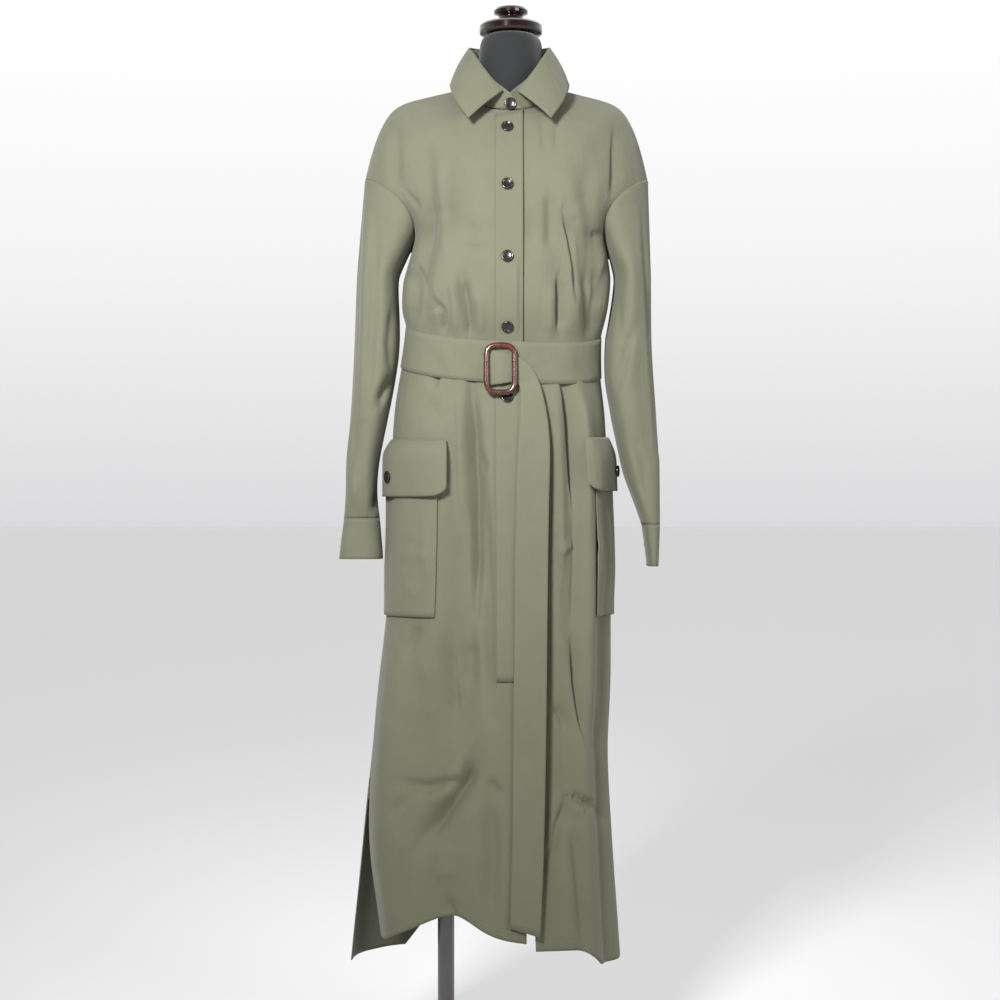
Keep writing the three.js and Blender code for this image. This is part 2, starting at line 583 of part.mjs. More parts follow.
// The collar's fall: from the fold at its top out and down to its edge, ending in two points.
const FALL = [
  { foldX: 10, foldY: -76, foldZ: 1403.4, edgeX: 58, edgeY: -101, edgeZ: 1360 },
  { foldX: 28, foldY: -67, foldZ: 1426, edgeX: 74, edgeY: -80, edgeZ: 1385 },
  { foldX: 46, foldY: -45.6, foldZ: 1455.2, edgeX: 83, edgeY: -44, edgeZ: 1410 },
  { foldX: 56.4, foldY: -12, foldZ: 1476.6, edgeX: 85, edgeY: -4, edgeZ: 1427 },
  { foldX: 56.4, foldY: 25.8, foldZ: 1485.6, edgeX: 80, edgeY: 40, edgeZ: 1437 },
  { foldX: 39.6, foldY: 54.6, foldZ: 1489.6, edgeX: 54, edgeY: 74, edgeZ: 1444 },
  { foldX: 0, foldY: 67.4, foldZ: 1491.6, edgeX: 0, edgeY: 88, edgeZ: 1447 },
];

function fallGrid() {
  const shares = [1, 0.75, 0.5, 0.25, 0];
  return shares.map((s) =>
    steps(2 * STAND_COLUMNS).map((t) => {
      const fold = ringPoint(FALL, "fold", t);
      const edge = ringPoint(FALL, "edge", t);
      const bow = 3.5 * Math.sin(Math.PI * s);
      const outward = V(edge.x, edge.y, 0).normalize();
      return fold.lerp(edge, s).addScaledVector(outward, bow);
    }),
  );
}

// Bellows pockets on the side seams, with flaps: the middle, half widths and heights.
const POCKETS = [
  { name: "right", middle: -72, half: 42.5, flapHalf: 46.5, top: 893, bottom: 661, flapTop: 912, flapBottom: 830, flapTopGap: 0.5 },
  { name: "left", middle: 86, half: 36, flapHalf: 44, top: 893, bottom: 661, flapTop: 916, flapBottom: 838, flapTopGap: 1.9 },
];
const POCKET_SHARES = [0, 0.02, 0.05, 0.12, 0.26, 0.4, 0.5, 0.6, 0.74, 0.88, 0.95, 0.98, 1];
const BELLOWS = 7; // how far the pocket stands off the skirt at its middle
const FLAP_CORNER = 11;

function pocketGrid(pocket) {
  return steps(8).map((w) =>
    POCKET_SHARES.map((u) => {
      const s = 2 * u - 1;
      const angle = turn(pocket.middle + s * pocket.half);
      const stand = BELLOWS * (1 - s ** 6) * (0.35 + 0.65 * soft(w * 4)) * soft((1 - Math.abs(s)) * 6);
      const pleat = 5 * bell(s / 0.1) * soft(w * 5);
      return onTrunk(angle, mix(pocket.bottom, pocket.top, w), LAY + CLOTH + stand - pleat);
    }),
  );
}

function flapGrid(pocket) {
  return steps(5).map((w) =>
    POCKET_SHARES.map((u) => {
      const s = 2 * u - 1;
      const angle = turn(pocket.middle + s * pocket.flapHalf);
      const round = FLAP_CORNER * ((Math.abs(s) - 0.9) / 0.1) ** 2 * (Math.abs(s) > 0.9) * (1 - w);
      const z = mix(pocket.flapBottom, pocket.flapTop, w) + round;
      const over = BELLOWS + 2 * (CLOTH + LAY) + 1.2;
      const stand = mix(over + 1.5, LAY + CLOTH + pocket.flapTopGap, soft((z - pocket.top - 2) / 14));
      return onTrunk(angle, z, stand);
    }),
  );
}

// The placket: a band that lies on the upper front along its edge.
function placketGrid(front) {
  const rows = front.map((row) => row.slice(-4));
  const kept = rows.filter((row) => row[3].z > PLACKET_END_Z && row[3].z <= NECK_PIT.z + 2);
  const length = kept.length;
  return kept.map((row, j) => {
    const curve = new THREE.CatmullRomCurve3(row, false, "centripetal");
    const edge = row[3];
    return steps(4).map((t) => {
      const x = mix(edge.x - PLACKET_WIDTH, edge.x - 0.4, t);
      const share = findShare(curve, x);
      const p = curve.getPoint(share);
      const slope = kept[Math.min(j + 1, length - 1)][3].clone().sub(kept[Math.max(j - 1, 0)][3]);
      const outward = V(0, -slope.z, slope.y).normalize();
      return p.addScaledVector(outward, LAY + CLOTH * 0.75);
    });
  });
}

// Share along a curve that runs with x, where it reaches x.
function findShare(curve, x) {
  let [low, high] = [0, 1];
  for (let k = 0; k < 24; k++) {
    const middle = (low + high) / 2;
    if (curve.getPoint(middle).x < x) low = middle;
    else high = middle;
  }
  return (low + high) / 2;
}

// Button: a dished disc with a raised rim.
function buttonGeometry() {
  const r = BUTTON_DIAMETER / 2;
  const profile = [
    [0, 0],
    [r - 0.8, 0],
    [r, 1.2],
    [r - 0.9, 3.2],
    [r - 2.6, 2.8],
    [r - 3.4, 1.9],
    [0, 1.9],
  ];
  return new THREE.LatheGeometry(profile.map(([x, y]) => new THREE.Vector2(x, y)), 12);
}

function placeButton(mesh, place, outward) {
  mesh.position.copy(place);
  mesh.quaternion.setFromUnitVectors(V(0, 1, 0), outward.clone().normalize());
  return mesh;
}

// Dress form: rings of a smooth limbless torso with a neck, and half width, depths and centre.
const TORSO = [
  { z: 1500, wide: 45, front: 46, back: 46, x: 2 },
  { z: 1470, wide: 46, front: 47, back: 48, x: 2 },
  { z: 1440, wide: 48, front: 48, back: 52, x: 2 },
  { z: 1420, wide: 51, front: 49, back: 54, x: 1 },
  { z: 1400, wide: 60, front: 46, back: 50, x: 1 },
  { z: 1386, wide: 96, front: 46, back: 50, x: 0 },
  { z: 1368, wide: 130, front: 50, back: 56, x: 0 },
  { z: 1346, wide: 147, front: 64, back: 70, x: 0 },
  { z: 1300, wide: 148, front: 84, back: 80, x: 0 },
  { z: 1250, wide: 136, front: 98, back: 84, x: -1 },
  { z: 1200, wide: 125, front: 104, back: 86, x: -2 },
  { z: 1150, wide: 119, front: 98, back: 82, x: -4 },
  { z: 1100, wide: 112, front: 86, back: 76, x: -7 },
  { z: 1040, wide: 108, front: 78, back: 70, x: -9 },
  { z: 980, wide: 114, front: 80, back: 78, x: -10 },
  { z: 900, wide: 124, front: 86, back: 88, x: -11 },
  { z: 840, wide: 127, front: 88, back: 92, x: -12 },
  { z: TORSO_BOTTOM_Z, wide: 122, front: 84, back: 88, x: -12 },
];
const TORSO_COLUMNS = 28;

function torsoGeometry() {
  const positions = [];
  for (const ring of [...TORSO].reverse()) {
    for (const i of count(TORSO_COLUMNS)) {
      const a = (2 * Math.PI * i) / TORSO_COLUMNS;
      const depth = Math.cos(a) > 0 ? ring.front : ring.back;
      positions.push(ring.x + ring.wide * Math.sin(a), -depth * Math.cos(a), ring.z);
    }
  }
  const rings = TORSO.length;
  const id = (j, i) => j * TORSO_COLUMNS + (i % TORSO_COLUMNS);
  const [bottom, top] = [positions.length / 3, positions.length / 3 + 1];
  positions.push(TORSO[rings - 1].x, 0, TORSO_BOTTOM_Z, TORSO[0].x, 0, NECK_TOP_Z);
  const index = [];
  for (const i of count(TORSO_COLUMNS)) {
    for (const j of count(rings - 1)) {
      index.push(id(j, i), id(j, i + 1), id(j + 1, i + 1), id(j, i), id(j + 1, i + 1), id(j + 1, i));
    }
    index.push(bottom, id(0, i + 1), id(0, i), top, id(rings - 1, i), id(rings - 1, i + 1));
  }
  return new THREE.BufferGeometry()
    .setAttribute("position", new THREE.BufferAttribute(new Float32Array(positions), 3))
    .setIndex(index);
}

// A turned piece from a profile of [radius, height] that starts and ends on the axis.
function turned(profile, segments) {
  const points = profile.map(([r, h]) => new THREE.Vector2(r, h));
  return new THREE.LatheGeometry(points, segments).rotateX(Math.PI / 2);
}

const CAP = [[0, 0], [45, 0], [46, 3], [45.5, 11], [43, 14], [0, 14]];
const KNOB = [[0, 0], [20, 0], [18, 4], [17.5, 10], [19, 13], [24.5, 15], [25, 19], [22, 22.5], [14, 24], [0, 24]];
const BASE = [[0, 0], [188, 0], [190, 3], [190, 8], [184, 12], [0, 12]];
const BASE_THICKNESS = 12;
const SOCKET_HEIGHT = 30;
const SOCKET = [[0, 0], [26, 0], [26, 4], [18, 10], [17, SOCKET_HEIGHT], [0, SOCKET_HEIGHT]];

const cloth = () => new THREE.MeshStandardMaterial({ color: "#8f8f73", roughness: 0.85, metalness: 0 });
const horn = () => new THREE.MeshStandardMaterial({ color: "#2b2a24", roughness: 0.3, metalness: 0 });
const resin = () => new THREE.MeshStandardMaterial({ color: "#5f2f22", roughness: 0.3, metalness: 0 });
const blackCover = () => new THREE.MeshStandardMaterial({ color: "#36373b", roughness: 0.7, metalness: 0 });
const lacquer = () => new THREE.MeshStandardMaterial({ color: "#2a1513", roughness: 0.15, metalness: 0 });
const steel = () => new THREE.MeshStandardMaterial({ color: "#8d8a8c", roughness: 0.3, metalness: 1 });
const paint = () => new THREE.MeshStandardMaterial({ color: "#222224", roughness: 0.45, metalness: 0 });

const dress = new THREE.Group();
const stand = new THREE.Group();

function add(group, name, geometry, material) {
  const mesh = new THREE.Mesh(geometry, material);
  mesh.name = name;
  group.add(mesh);
  return mesh;
}

// Panels
const lastRow = ROW_HEIGHTS.length + UPPER_ROWS - 1;
const rightFront = frontGrid(-1);
const leftFront = frontGrid(1);
const backPanel = backGrid();
add(dress, "front_right", wall(rightFront, CLOTH, false, seamNormals(lastRow, [0])), cloth());
add(dress, "front_left", wall(leftFront, CLOTH, false, seamNormals(lastRow, [FRONT_COLUMNS])), cloth());
add(dress, "back", wall(backPanel, CLOTH, false, seamNormals(lastRow, [0, BACK_COLUMNS])), cloth());
add(dress, "front_placket", wall(placketGrid(rightFront), CLOTH * 0.75), cloth());

// Sleeves and cuffs
add(dress, "sleeve_right", wall(sleeveGrid(-1, SLEEVE_RIGHT), CLOTH, true), cloth());
add(dress, "sleeve_left", wall(sleeveGrid(1, SLEEVE_LEFT), CLOTH, true), cloth());
add(dress, "cuff_right", wall(cuffGrid(-1, SLEEVE_RIGHT, CUFF_LENGTH_RIGHT), CLOTH + 0.6, true), cloth());
add(dress, "cuff_left", wall(cuffGrid(1, SLEEVE_LEFT, CUFF_LENGTH_LEFT), CLOTH + 0.6, true), cloth());

// Collar
const neck = neckEdge(rightFront, backPanel, leftFront);
add(dress, "collar_stand", wall(standGrid(neck), CLOTH), cloth());
add(dress, "collar_fall", wall(fallGrid(), CLOTH), cloth());

// Pockets
for (const pocket of POCKETS) {
  add(dress, "pocket_" + pocket.name, wall(pocketGrid(pocket), CLOTH), cloth());
  add(dress, "pocket_flap_" + pocket.name, wall(flapGrid(pocket), CLOTH), cloth());
}

// Belt
add(dress, "belt_band", wall(beltGrid(), CLOTH, true), cloth());
add(dress, "belt_end", wall(beltEndGrid(), CLOTH), cloth());
const buckle = add(dress, "belt_buckle", buckleGeometry(), resin());
buckle.position.set(BUCKLE.x, BUCKLE.y, BUCKLE.z);
buckle.rotation.x = rad(BUCKLE.lean);

// Buttons: down the front, on the flaps and behind on the cuffs
const BUTTON_HEIGHTS = [1351, 1266, 1164, 1067, 969];
const BUTTON_X = -3.5;
const FLAP_BUTTON_SHARE = 0.93; // the flaps' buttons sit a little before the side

const placket = placketGrid(rightFront);
BUTTON_HEIGHTS.forEach((z, k) => {
  const near = placket.map((row) => new THREE.CatmullRomCurve3(row).getPoint(0.5));
  const j = Math.max(1, near.findIndex((p) => p.z > z));
  const [a, b] = [near[j - 1], near[j]];
  const t = (z - a.z) / (b.z - a.z);
  const slope = b.clone().sub(a);
  const outward = V(0, -slope.z, slope.y).normalize();
  const place = V(BUTTON_X, mix(a.y, b.y, t), z).addScaledVector(outward, 0.6);
  placeButton(add(dress, "button_front_" + (k + 1), buttonGeometry(), horn()), place, outward);
});
placeButton(add(dress, "button_collar", buttonGeometry(), horn()), V(1, -73.1, 1386), V(0, -1, 0));

for (const pocket of POCKETS) {
  const z = pocket.flapBottom + 28;
  const angle = pocket.middle * FLAP_BUTTON_SHARE;
  const foot = onTrunk(angle, z, 0);
  const at = onTrunk(angle, z, BELLOWS + 2 * (CLOTH + LAY) + 1.2 + 1.5 - 0.1);
  const button = add(dress, "button_flap_" + pocket.name, buttonGeometry(), horn());
  placeButton(button, at, at.clone().sub(foot));
}
for (const [name, side, rows] of [["right", -1, SLEEVE_RIGHT], ["left", 1, SLEEVE_LEFT]]) {
  const z = (rows[5].z + rows[6].z) / 2;
  const angle = 180;
  const at = sleeveSection(side, rows, z, angle).add(V(0, 0.9, 0));
  placeButton(add(dress, "button_cuff_" + name, buttonGeometry(), horn()), at, V(0, 1, 0));
}

// Dress form and stand
add(stand, "form_body", torsoGeometry(), blackCover());
add(stand, "form_cap", turned(CAP, 32), lacquer()).position.set(2, 0, NECK_TOP_Z + 0.3);
add(stand, "form_knob", turned(KNOB, 24), lacquer()).position.set(2, 0, NECK_TOP_Z + 14.6);
const poleBottom = BASE_THICKNESS + 0.3 + SOCKET_HEIGHT;
const poleHeight = TORSO_BOTTOM_Z - 0.3 - poleBottom - 0.3;
const pole = new THREE.CylinderGeometry(POLE_RADIUS, POLE_RADIUS, poleHeight, 24).rotateX(Math.PI / 2);
add(stand, "stand_pole", pole, steel()).position.set(POLE_X, 0, poleBottom + 0.3 + poleHeight / 2);
add(stand, "stand_socket", turned(SOCKET, 24), paint()).position.set(POLE_X, 0, BASE_THICKNESS + 0.3);
add(stand, "stand_base", turned(BASE, 48), paint());

const part = new THREE.Group();
part.add(dress, stand);
export default part;
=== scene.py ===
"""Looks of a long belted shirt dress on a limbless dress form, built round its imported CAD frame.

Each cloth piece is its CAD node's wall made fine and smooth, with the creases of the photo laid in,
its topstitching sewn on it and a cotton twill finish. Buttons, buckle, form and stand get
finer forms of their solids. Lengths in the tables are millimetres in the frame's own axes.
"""

import logging
import math
from dataclasses import dataclass
from enum import Enum
from typing import ClassVar

import bmesh
import bpy
import numpy as np
from mathutils import Matrix, Vector
from mathutils.bvhtree import BVHTree


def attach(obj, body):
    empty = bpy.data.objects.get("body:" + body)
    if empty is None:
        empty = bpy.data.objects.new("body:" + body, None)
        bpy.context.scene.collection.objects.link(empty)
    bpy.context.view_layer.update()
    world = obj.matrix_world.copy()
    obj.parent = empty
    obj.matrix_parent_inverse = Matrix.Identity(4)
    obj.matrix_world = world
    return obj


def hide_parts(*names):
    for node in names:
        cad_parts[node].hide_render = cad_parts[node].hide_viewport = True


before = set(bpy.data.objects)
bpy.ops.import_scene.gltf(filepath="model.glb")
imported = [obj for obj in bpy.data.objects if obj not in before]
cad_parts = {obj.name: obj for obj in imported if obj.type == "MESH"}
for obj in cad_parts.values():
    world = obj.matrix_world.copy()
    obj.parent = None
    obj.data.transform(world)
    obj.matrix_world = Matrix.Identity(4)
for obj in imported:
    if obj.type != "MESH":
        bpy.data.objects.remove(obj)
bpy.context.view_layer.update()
LOG = logging.getLogger("shirt_dress")
MM = 0.001
MERGE = 1e-5  # distance at which a CAD node's loose vertices are one, in metres
RIM_WIDTH = 2.4 * MM  # a narrower face belongs to a wall's rim
RIM_ANGLE = math.radians(40)  # a rim's edge is sharper than this
SEAM_GAP = 2.2 * MM  # a cut edge this near to its neighbour is drawn up to it
FOLD_DEPTH = 1.3  # share of each crease's depth
SIDE_TURN = 24.0  # depth over which the front's creases give way to the back's, in millimetres
FACING = 1.6  # how fast a crease gains depth as the cloth turns towards the camera
SEAM_REACH = 26.0  # creases fade out over this distance from a seam, in millimetres
EYE = (-13.8, 825.0)  # the camera's place across and its height, in millimetres
BUCKLE_SWELL = 0.45  # makes up for the thinning of a finer bar, in millimetres
EYE_DISTANCE = 3000.0  # from the camera to the dress's middle plane, in millimetres


def linear(colour: str, alpha: float = 1.0) -> tuple[float, float, float, float]:
    """Turns an sRGB hex colour into the linear values that a shader takes.

    Args:
        colour: six hex digits with a leading hash.
        alpha: the fourth value.

    Returns:
        Linear red, green and blue, with alpha.
    """
    parts = [int(colour[k : k + 2], 16) / 255 for k in (1, 3, 5)]
    low = [p / 12.92 if p <= 0.04045 else ((p + 0.055) / 1.055) ** 2.4 for p in parts]
    return (low[0], low[1], low[2], alpha)


def node(tree: bpy.types.NodeTree, kind: str, **inputs: object) -> bpy.types.Node:
    """Adds a shader node and sets its inputs by name.

    Args:
        tree: the material's node tree.
        kind: the node's type, without its ShaderNode prefix.
        **inputs: values or output sockets, with underscores for spaces.

    Returns:
        The new node.
    """
    made = tree.nodes.new("ShaderNode" + kind)
    for name, value in inputs.items():
        socket = made.inputs[name.replace("_", " ")]
        if isinstance(value, bpy.types.NodeSocket):
            tree.links.new(value, socket)
        else:
            socket.default_value = value
    return made


def shifted(
    tree: bpy.types.NodeTree, value: bpy.types.NodeSocket, scale: float, add: float
) -> bpy.types.NodeSocket:
    """Adds a node that scales a value and moves it.

    Args:
        tree: the node tree.
        value: the output socket to take.
        scale: what it is multiplied by.
        add: what is added then.

    Returns:
        The new value's socket.
    """
    made = node(tree, "Math", Value=value)
    made.operation = "MULTIPLY_ADD"
    made.inputs[1].default_value = scale
    made.inputs[2].default_value = add
    return made.outputs[0]


def bump(
    tree: bpy.types.NodeTree,
    height: bpy.types.NodeSocket,
    strength: float,
    depth: float,
    below: bpy.types.NodeSocket | None,
) -> bpy.types.NodeSocket:
    """Adds a fine relief.

    Args:
        tree: the material's node tree.
        height: the relief's height, from 0 to 1.
        strength: share of it that shows.
        depth: its depth, in millimetres.
        below: the surface that it is laid on, or nothing for the piece's own.

    Returns:
        The new surface's direction.
    """
    made = node(tree, "Bump", Strength=strength, Distance=depth * MM, Height=height)
    if below:
        tree.links.new(below, made.inputs["Normal"])
    return made.outputs["Normal"]


@dataclass(frozen=True)
class Finish:
    """A plain surface: colour, gloss and metal.

    Attributes:
        name: the material's name.
        colour: sRGB hex.
        roughness: 0 for a mirror, 1 for chalk.
        metallic: 1 for bare metal.
        coat: share of a clear coat on top.
    """

    name: str
    colour: str
    roughness: float
    metallic: float = 0.0
    coat: float = 0.0

    def shader(self, tree: bpy.types.NodeTree) -> bpy.types.Node:
        """Adds the main shader and joins it to the output.

        Args:
            tree: the material's emptied node tree.

        Returns:
            The shader node.
        """
        main = node(
            tree,
            "BsdfPrincipled",
            Base_Color=linear(self.colour),
            Roughness=self.roughness,
            Metallic=self.metallic,
            Coat_Weight=self.coat,
            Coat_Roughness=0.08,
        )
        out = node(tree, "OutputMaterial")
        tree.links.new(main.outputs["BSDF"], out.inputs["Surface"])
        return main

    def material(self) -> bpy.types.Material:
        """Makes the material, or returns the one made before."""
        found = bpy.data.materials.get(self.name)
        if found:
            return found
        made = bpy.data.materials.new(self.name)
        made.use_nodes = True
        made.node_tree.nodes.clear()
        self.detail(made.node_tree, self.shader(made.node_tree))
        return made

    def detail(self, tree: bpy.types.NodeTree, main: bpy.types.Node) -> None:
        """Adds what a plain surface lacks: nothing here.

        Args:
            tree: the material's node tree.
            main: its shader.
        """


@dataclass(frozen=True)
class Twill(Finish):
    """Cotton twill: a fine diagonal rib, a soft mottle and a faint nap.

    Attributes:
        shade: sRGB hex of the darker tone.
        rib: width of one diagonal rib, in millimetres.
        mottle: size of the uneven patches, in millimetres.
        rumple: depth of the faint unevenness left by wear, in millimetres.
        wear_size: width of one such dent, in millimetres.
        yarn: thickness of one yarn, in millimetres.
    """

    shade: str = "#000000"
    rib: float = 0.9
    mottle: float = 45.0
    rumple: float = 1.6
    wear_size: float = 24.0
    yarn: float = 1.6

    def detail(self, tree: bpy.types.NodeTree, main: bpy.types.Node) -> None:
        """Lays in the mottle, the rib and the nap.

        Args:
            tree: the material's node tree.
            main: its shader.
        """
        place = node(tree, "TexCoord").outputs["Object"]
        patches = node(
            tree, "TexNoise", Vector=place, Scale=1 / (self.mottle * MM), Detail=4.0, Roughness=0.6
        )
        tint = node(tree, "Mix")
        tint.data_type = "RGBA"
        tree.links.new(shifted(tree, patches.outputs["Fac"], 1.5, -0.25), tint.inputs["Factor"])
        tint.inputs[6].default_value = linear(self.shade)
        tint.inputs[7].default_value = linear(self.colour)
        tree.links.new(tint.outputs[2], main.inputs["Base Color"])
        main.inputs["Sheen Weight"].default_value = 0.12
        main.inputs["Sheen Roughness"].default_value = 0.5
        main.inputs["Specular IOR Level"].default_value = 0.28
        surface = self.wear(tree, place, None)
        surface = self.ribs(tree, place, surface)
        surface = self.nap(tree, place, surface)
        tree.links.new(surface, main.inputs["Normal"])

    def wear(
        self, tree: bpy.types.NodeTree, place: bpy.types.NodeSocket, below: bpy.types.NodeSocket | None
    ) -> bpy.types.NodeSocket:
        """Adds the faint unevenness left by wear, longer up and down than across.

        Args:
            tree: the material's node tree.
            place: the point's place on the piece.
            below: the surface that it is laid on, or nothing for the piece's own.

        Returns:
            The new surface's direction.
        """
        long = node(tree, "Mapping", Vector=place, Scale=(1.0, 1.0, 0.45))
        cloud = node(
            tree,
            "TexNoise",
            Vector=long.outputs["Vector"],
            Scale=1 / (self.wear_size * MM),
            Detail=3.0,
            Roughness=0.55,
        )
        return bump(tree, cloud.outputs["Fac"], 1.0, self.rumple, below)

    def ribs(
        self, tree: bpy.types.NodeTree, place: bpy.types.NodeSocket, below: bpy.types.NodeSocket | None
    ) -> bpy.types.NodeSocket:
        """Adds the twill's diagonal ribs.

        Args:
            tree: the material's node tree.
            place: the point's place on the piece.
            below: the surface that they are laid on.

        Returns:
            The new surface's direction.
        """
        turned = node(tree, "Mapping", Vector=place, Rotation=(0.5, math.radians(38), 0.4))
        wave = node(
            tree,
            "TexWave",
            Vector=turned.outputs["Vector"],
            Scale=math.pi / (10 * self.rib * MM),
            Distortion=0.6,
        )
        return bump(tree, wave.outputs["Fac"], 0.16, 0.25, below)

    def nap(
        self, tree: bpy.types.NodeTree, place: bpy.types.NodeSocket, below: bpy.types.NodeSocket | None
    ) -> bpy.types.NodeSocket:
        """Adds the yarns' fine fuzz.

        Args:
            tree: the material's node tree.
            place: the point's place on the piece.
            below: the surface that it is laid on.

        Returns:
            The new surface's direction.
        """
        yarn = node(tree, "TexNoise", Vector=place, Scale=1 / (self.yarn * MM), Detail=3.0, Roughness=0.7)
        return bump(tree, yarn.outputs["Fac"], 0.35, 0.4, below)


@dataclass(frozen=True)
class Marbled(Finish):
    """A polished stuff with soft streaks of a second tone, such as horn or tortoise resin.

    Attributes:
        streak: sRGB hex of the streaks.
        grain: size of the streaks, in millimetres.
    """

    streak: str = "#000000"
    grain: float = 6.0

    def detail(self, tree: bpy.types.NodeTree, main: bpy.types.Node) -> None:
        """Lays in the streaks.

        Args:
            tree: the material's node tree.
            main: its shader.
        """
        place = node(tree, "TexCoord").outputs["Object"]
        cloud = node(tree, "TexNoise", Vector=place, Scale=1 / (self.grain * MM), Detail=3.0, Distortion=1.2)
        ramp = node(tree, "ValToRGB", Fac=cloud.outputs["Fac"])
        ramp.color_ramp.elements[0].position = 0.35
        ramp.color_ramp.elements[0].color = linear(self.streak)
        ramp.color_ramp.elements[1].position = 0.62
        ramp.color_ramp.elements[1].color = linear(self.colour)
        tree.links.new(ramp.outputs["Color"], main.inputs["Base Color"])


@dataclass(frozen=True)
class Cover(Finish):
    """The form's stretched black cover, with a fine knit grain."""

    def detail(self, tree: bpy.types.NodeTree, main: bpy.types.Node) -> None:
        """Lays in the grain.

        Args:
            tree: the material's node tree.
            main: its shader.
        """
        place = node(tree, "TexCoord").outputs["Object"]
        grain = node(tree, "TexNoise", Vector=place, Scale=1 / (1.2 * MM), Detail=2.0)
        tree.links.new(bump(tree, grain.outputs["Fac"], 0.3, 0.3, None), main.inputs["Normal"])
        main.inputs["Sheen Weight"].default_value = 0.25


COTTON = Twill("sage_cotton_twill", "#6a6b59", 0.86, shade="#656653")
THREAD = Finish("sage_sewing_thread", "#7b7c67", 0.75)
HORN = Marbled("dark_horn", "#201f19", 0.24, coat=0.5, streak="#100e0a", grain=5.0)
HOLE = Finish("button_hole_shadow", "#060605", 0.9)
RESIN = Marbled("reddish_brown_resin", "#552213", 0.24, coat=0.6, streak="#2b100a", grain=9.0)
BLACK_COVER = Cover("black_knit_cover", "#181a1b", 0.85)
LACQUER = Marbled("dark_lacquered_wood", "#210c09", 0.12, coat=0.8, streak="#120605", grain=14.0)
STEEL = Finish("satin_steel", "#747173", 0.36, metallic=1.0)
PAINT = Finish("black_powder_paint", "#222225", 0.5)
FLOOR = Finish("pale_floor", "#f7f7f8", 0.9)


def eased(value: np.ndarray) -> np.ndarray:
    """Turns a share into one that starts and ends softly.

    Args:
        value: the shares, held between 0 and 1.

    Returns:
        The eased shares.
    """
    held = np.clip(value, 0, 1)
    return held * held * (3 - 2 * held)


class Side(Enum):
    """Side of the piece that a crease lies on."""

    FRONT = -1
    BACK = 1


@dataclass(frozen=True)
class Crease:
    """A soft trough or ridge in the cloth, along a line drawn on it as the camera sees it.

    Attributes:
        line: points of its middle, as x and z in the dress's middle plane.
        depth: how far it stands in (minus) or out, at its middle.
        width: half of its width.
        side: the side of the dress that it lies on.
        sharp: share by which one flank is steeper, from -1 to 1.
        outline: whether it also moves the edge of what the camera sees.
    """

    line: tuple[tuple[float, float], ...]
    depth: float
    width: float
    side: Side = Side.FRONT
    sharp: float = 0.0
    outline: bool = False

    END_DEPTH: ClassVar[float] = 0.25  # share of the depth that is left at the line's ends
    END_SHARE: ClassVar[float] = 0.25  # share of the line that each end takes to reach full depth

    def height(self, x: np.ndarray, z: np.ndarray) -> np.ndarray:
        """Gives how far the crease moves each point out.

        Args:
            x: the points' places across, in millimetres.
            z: their heights.

        Returns:
            The move of each point, in millimetres.
        """
        line = np.array(self.line, float)
        spans = np.linalg.norm(np.diff(line, axis=0), axis=1)
        total = spans.sum()
        best = np.full(x.shape, 1e9)
        signed = np.zeros(x.shape)
        share = np.zeros(x.shape)
        walked = 0.0
        for start, end, span in zip(line[:-1], line[1:], spans):
            along = (end - start) / span
            dx, dz = x - start[0], z - start[1]
            t = np.clip(dx * along[0] + dz * along[1], 0, span)
            far = np.hypot(dx - t * along[0], dz - t * along[1])
            closer = far < best
            cross = along[0] * dz - along[1] * dx
            best = np.where(closer, far, best)
            signed = np.where(closer, np.sign(cross) * far, signed)
            share = np.where(closer, (walked + t) / total, share)
            walked += span
        wide = self.width * (1 - self.sharp * np.tanh(signed / self.width))
        taper = eased(np.minimum(share, 1 - share) / self.END_SHARE)
        return self.depth * np.exp(-((best / wide) ** 2)) * (self.END_DEPTH + (1 - self.END_DEPTH) * taper)


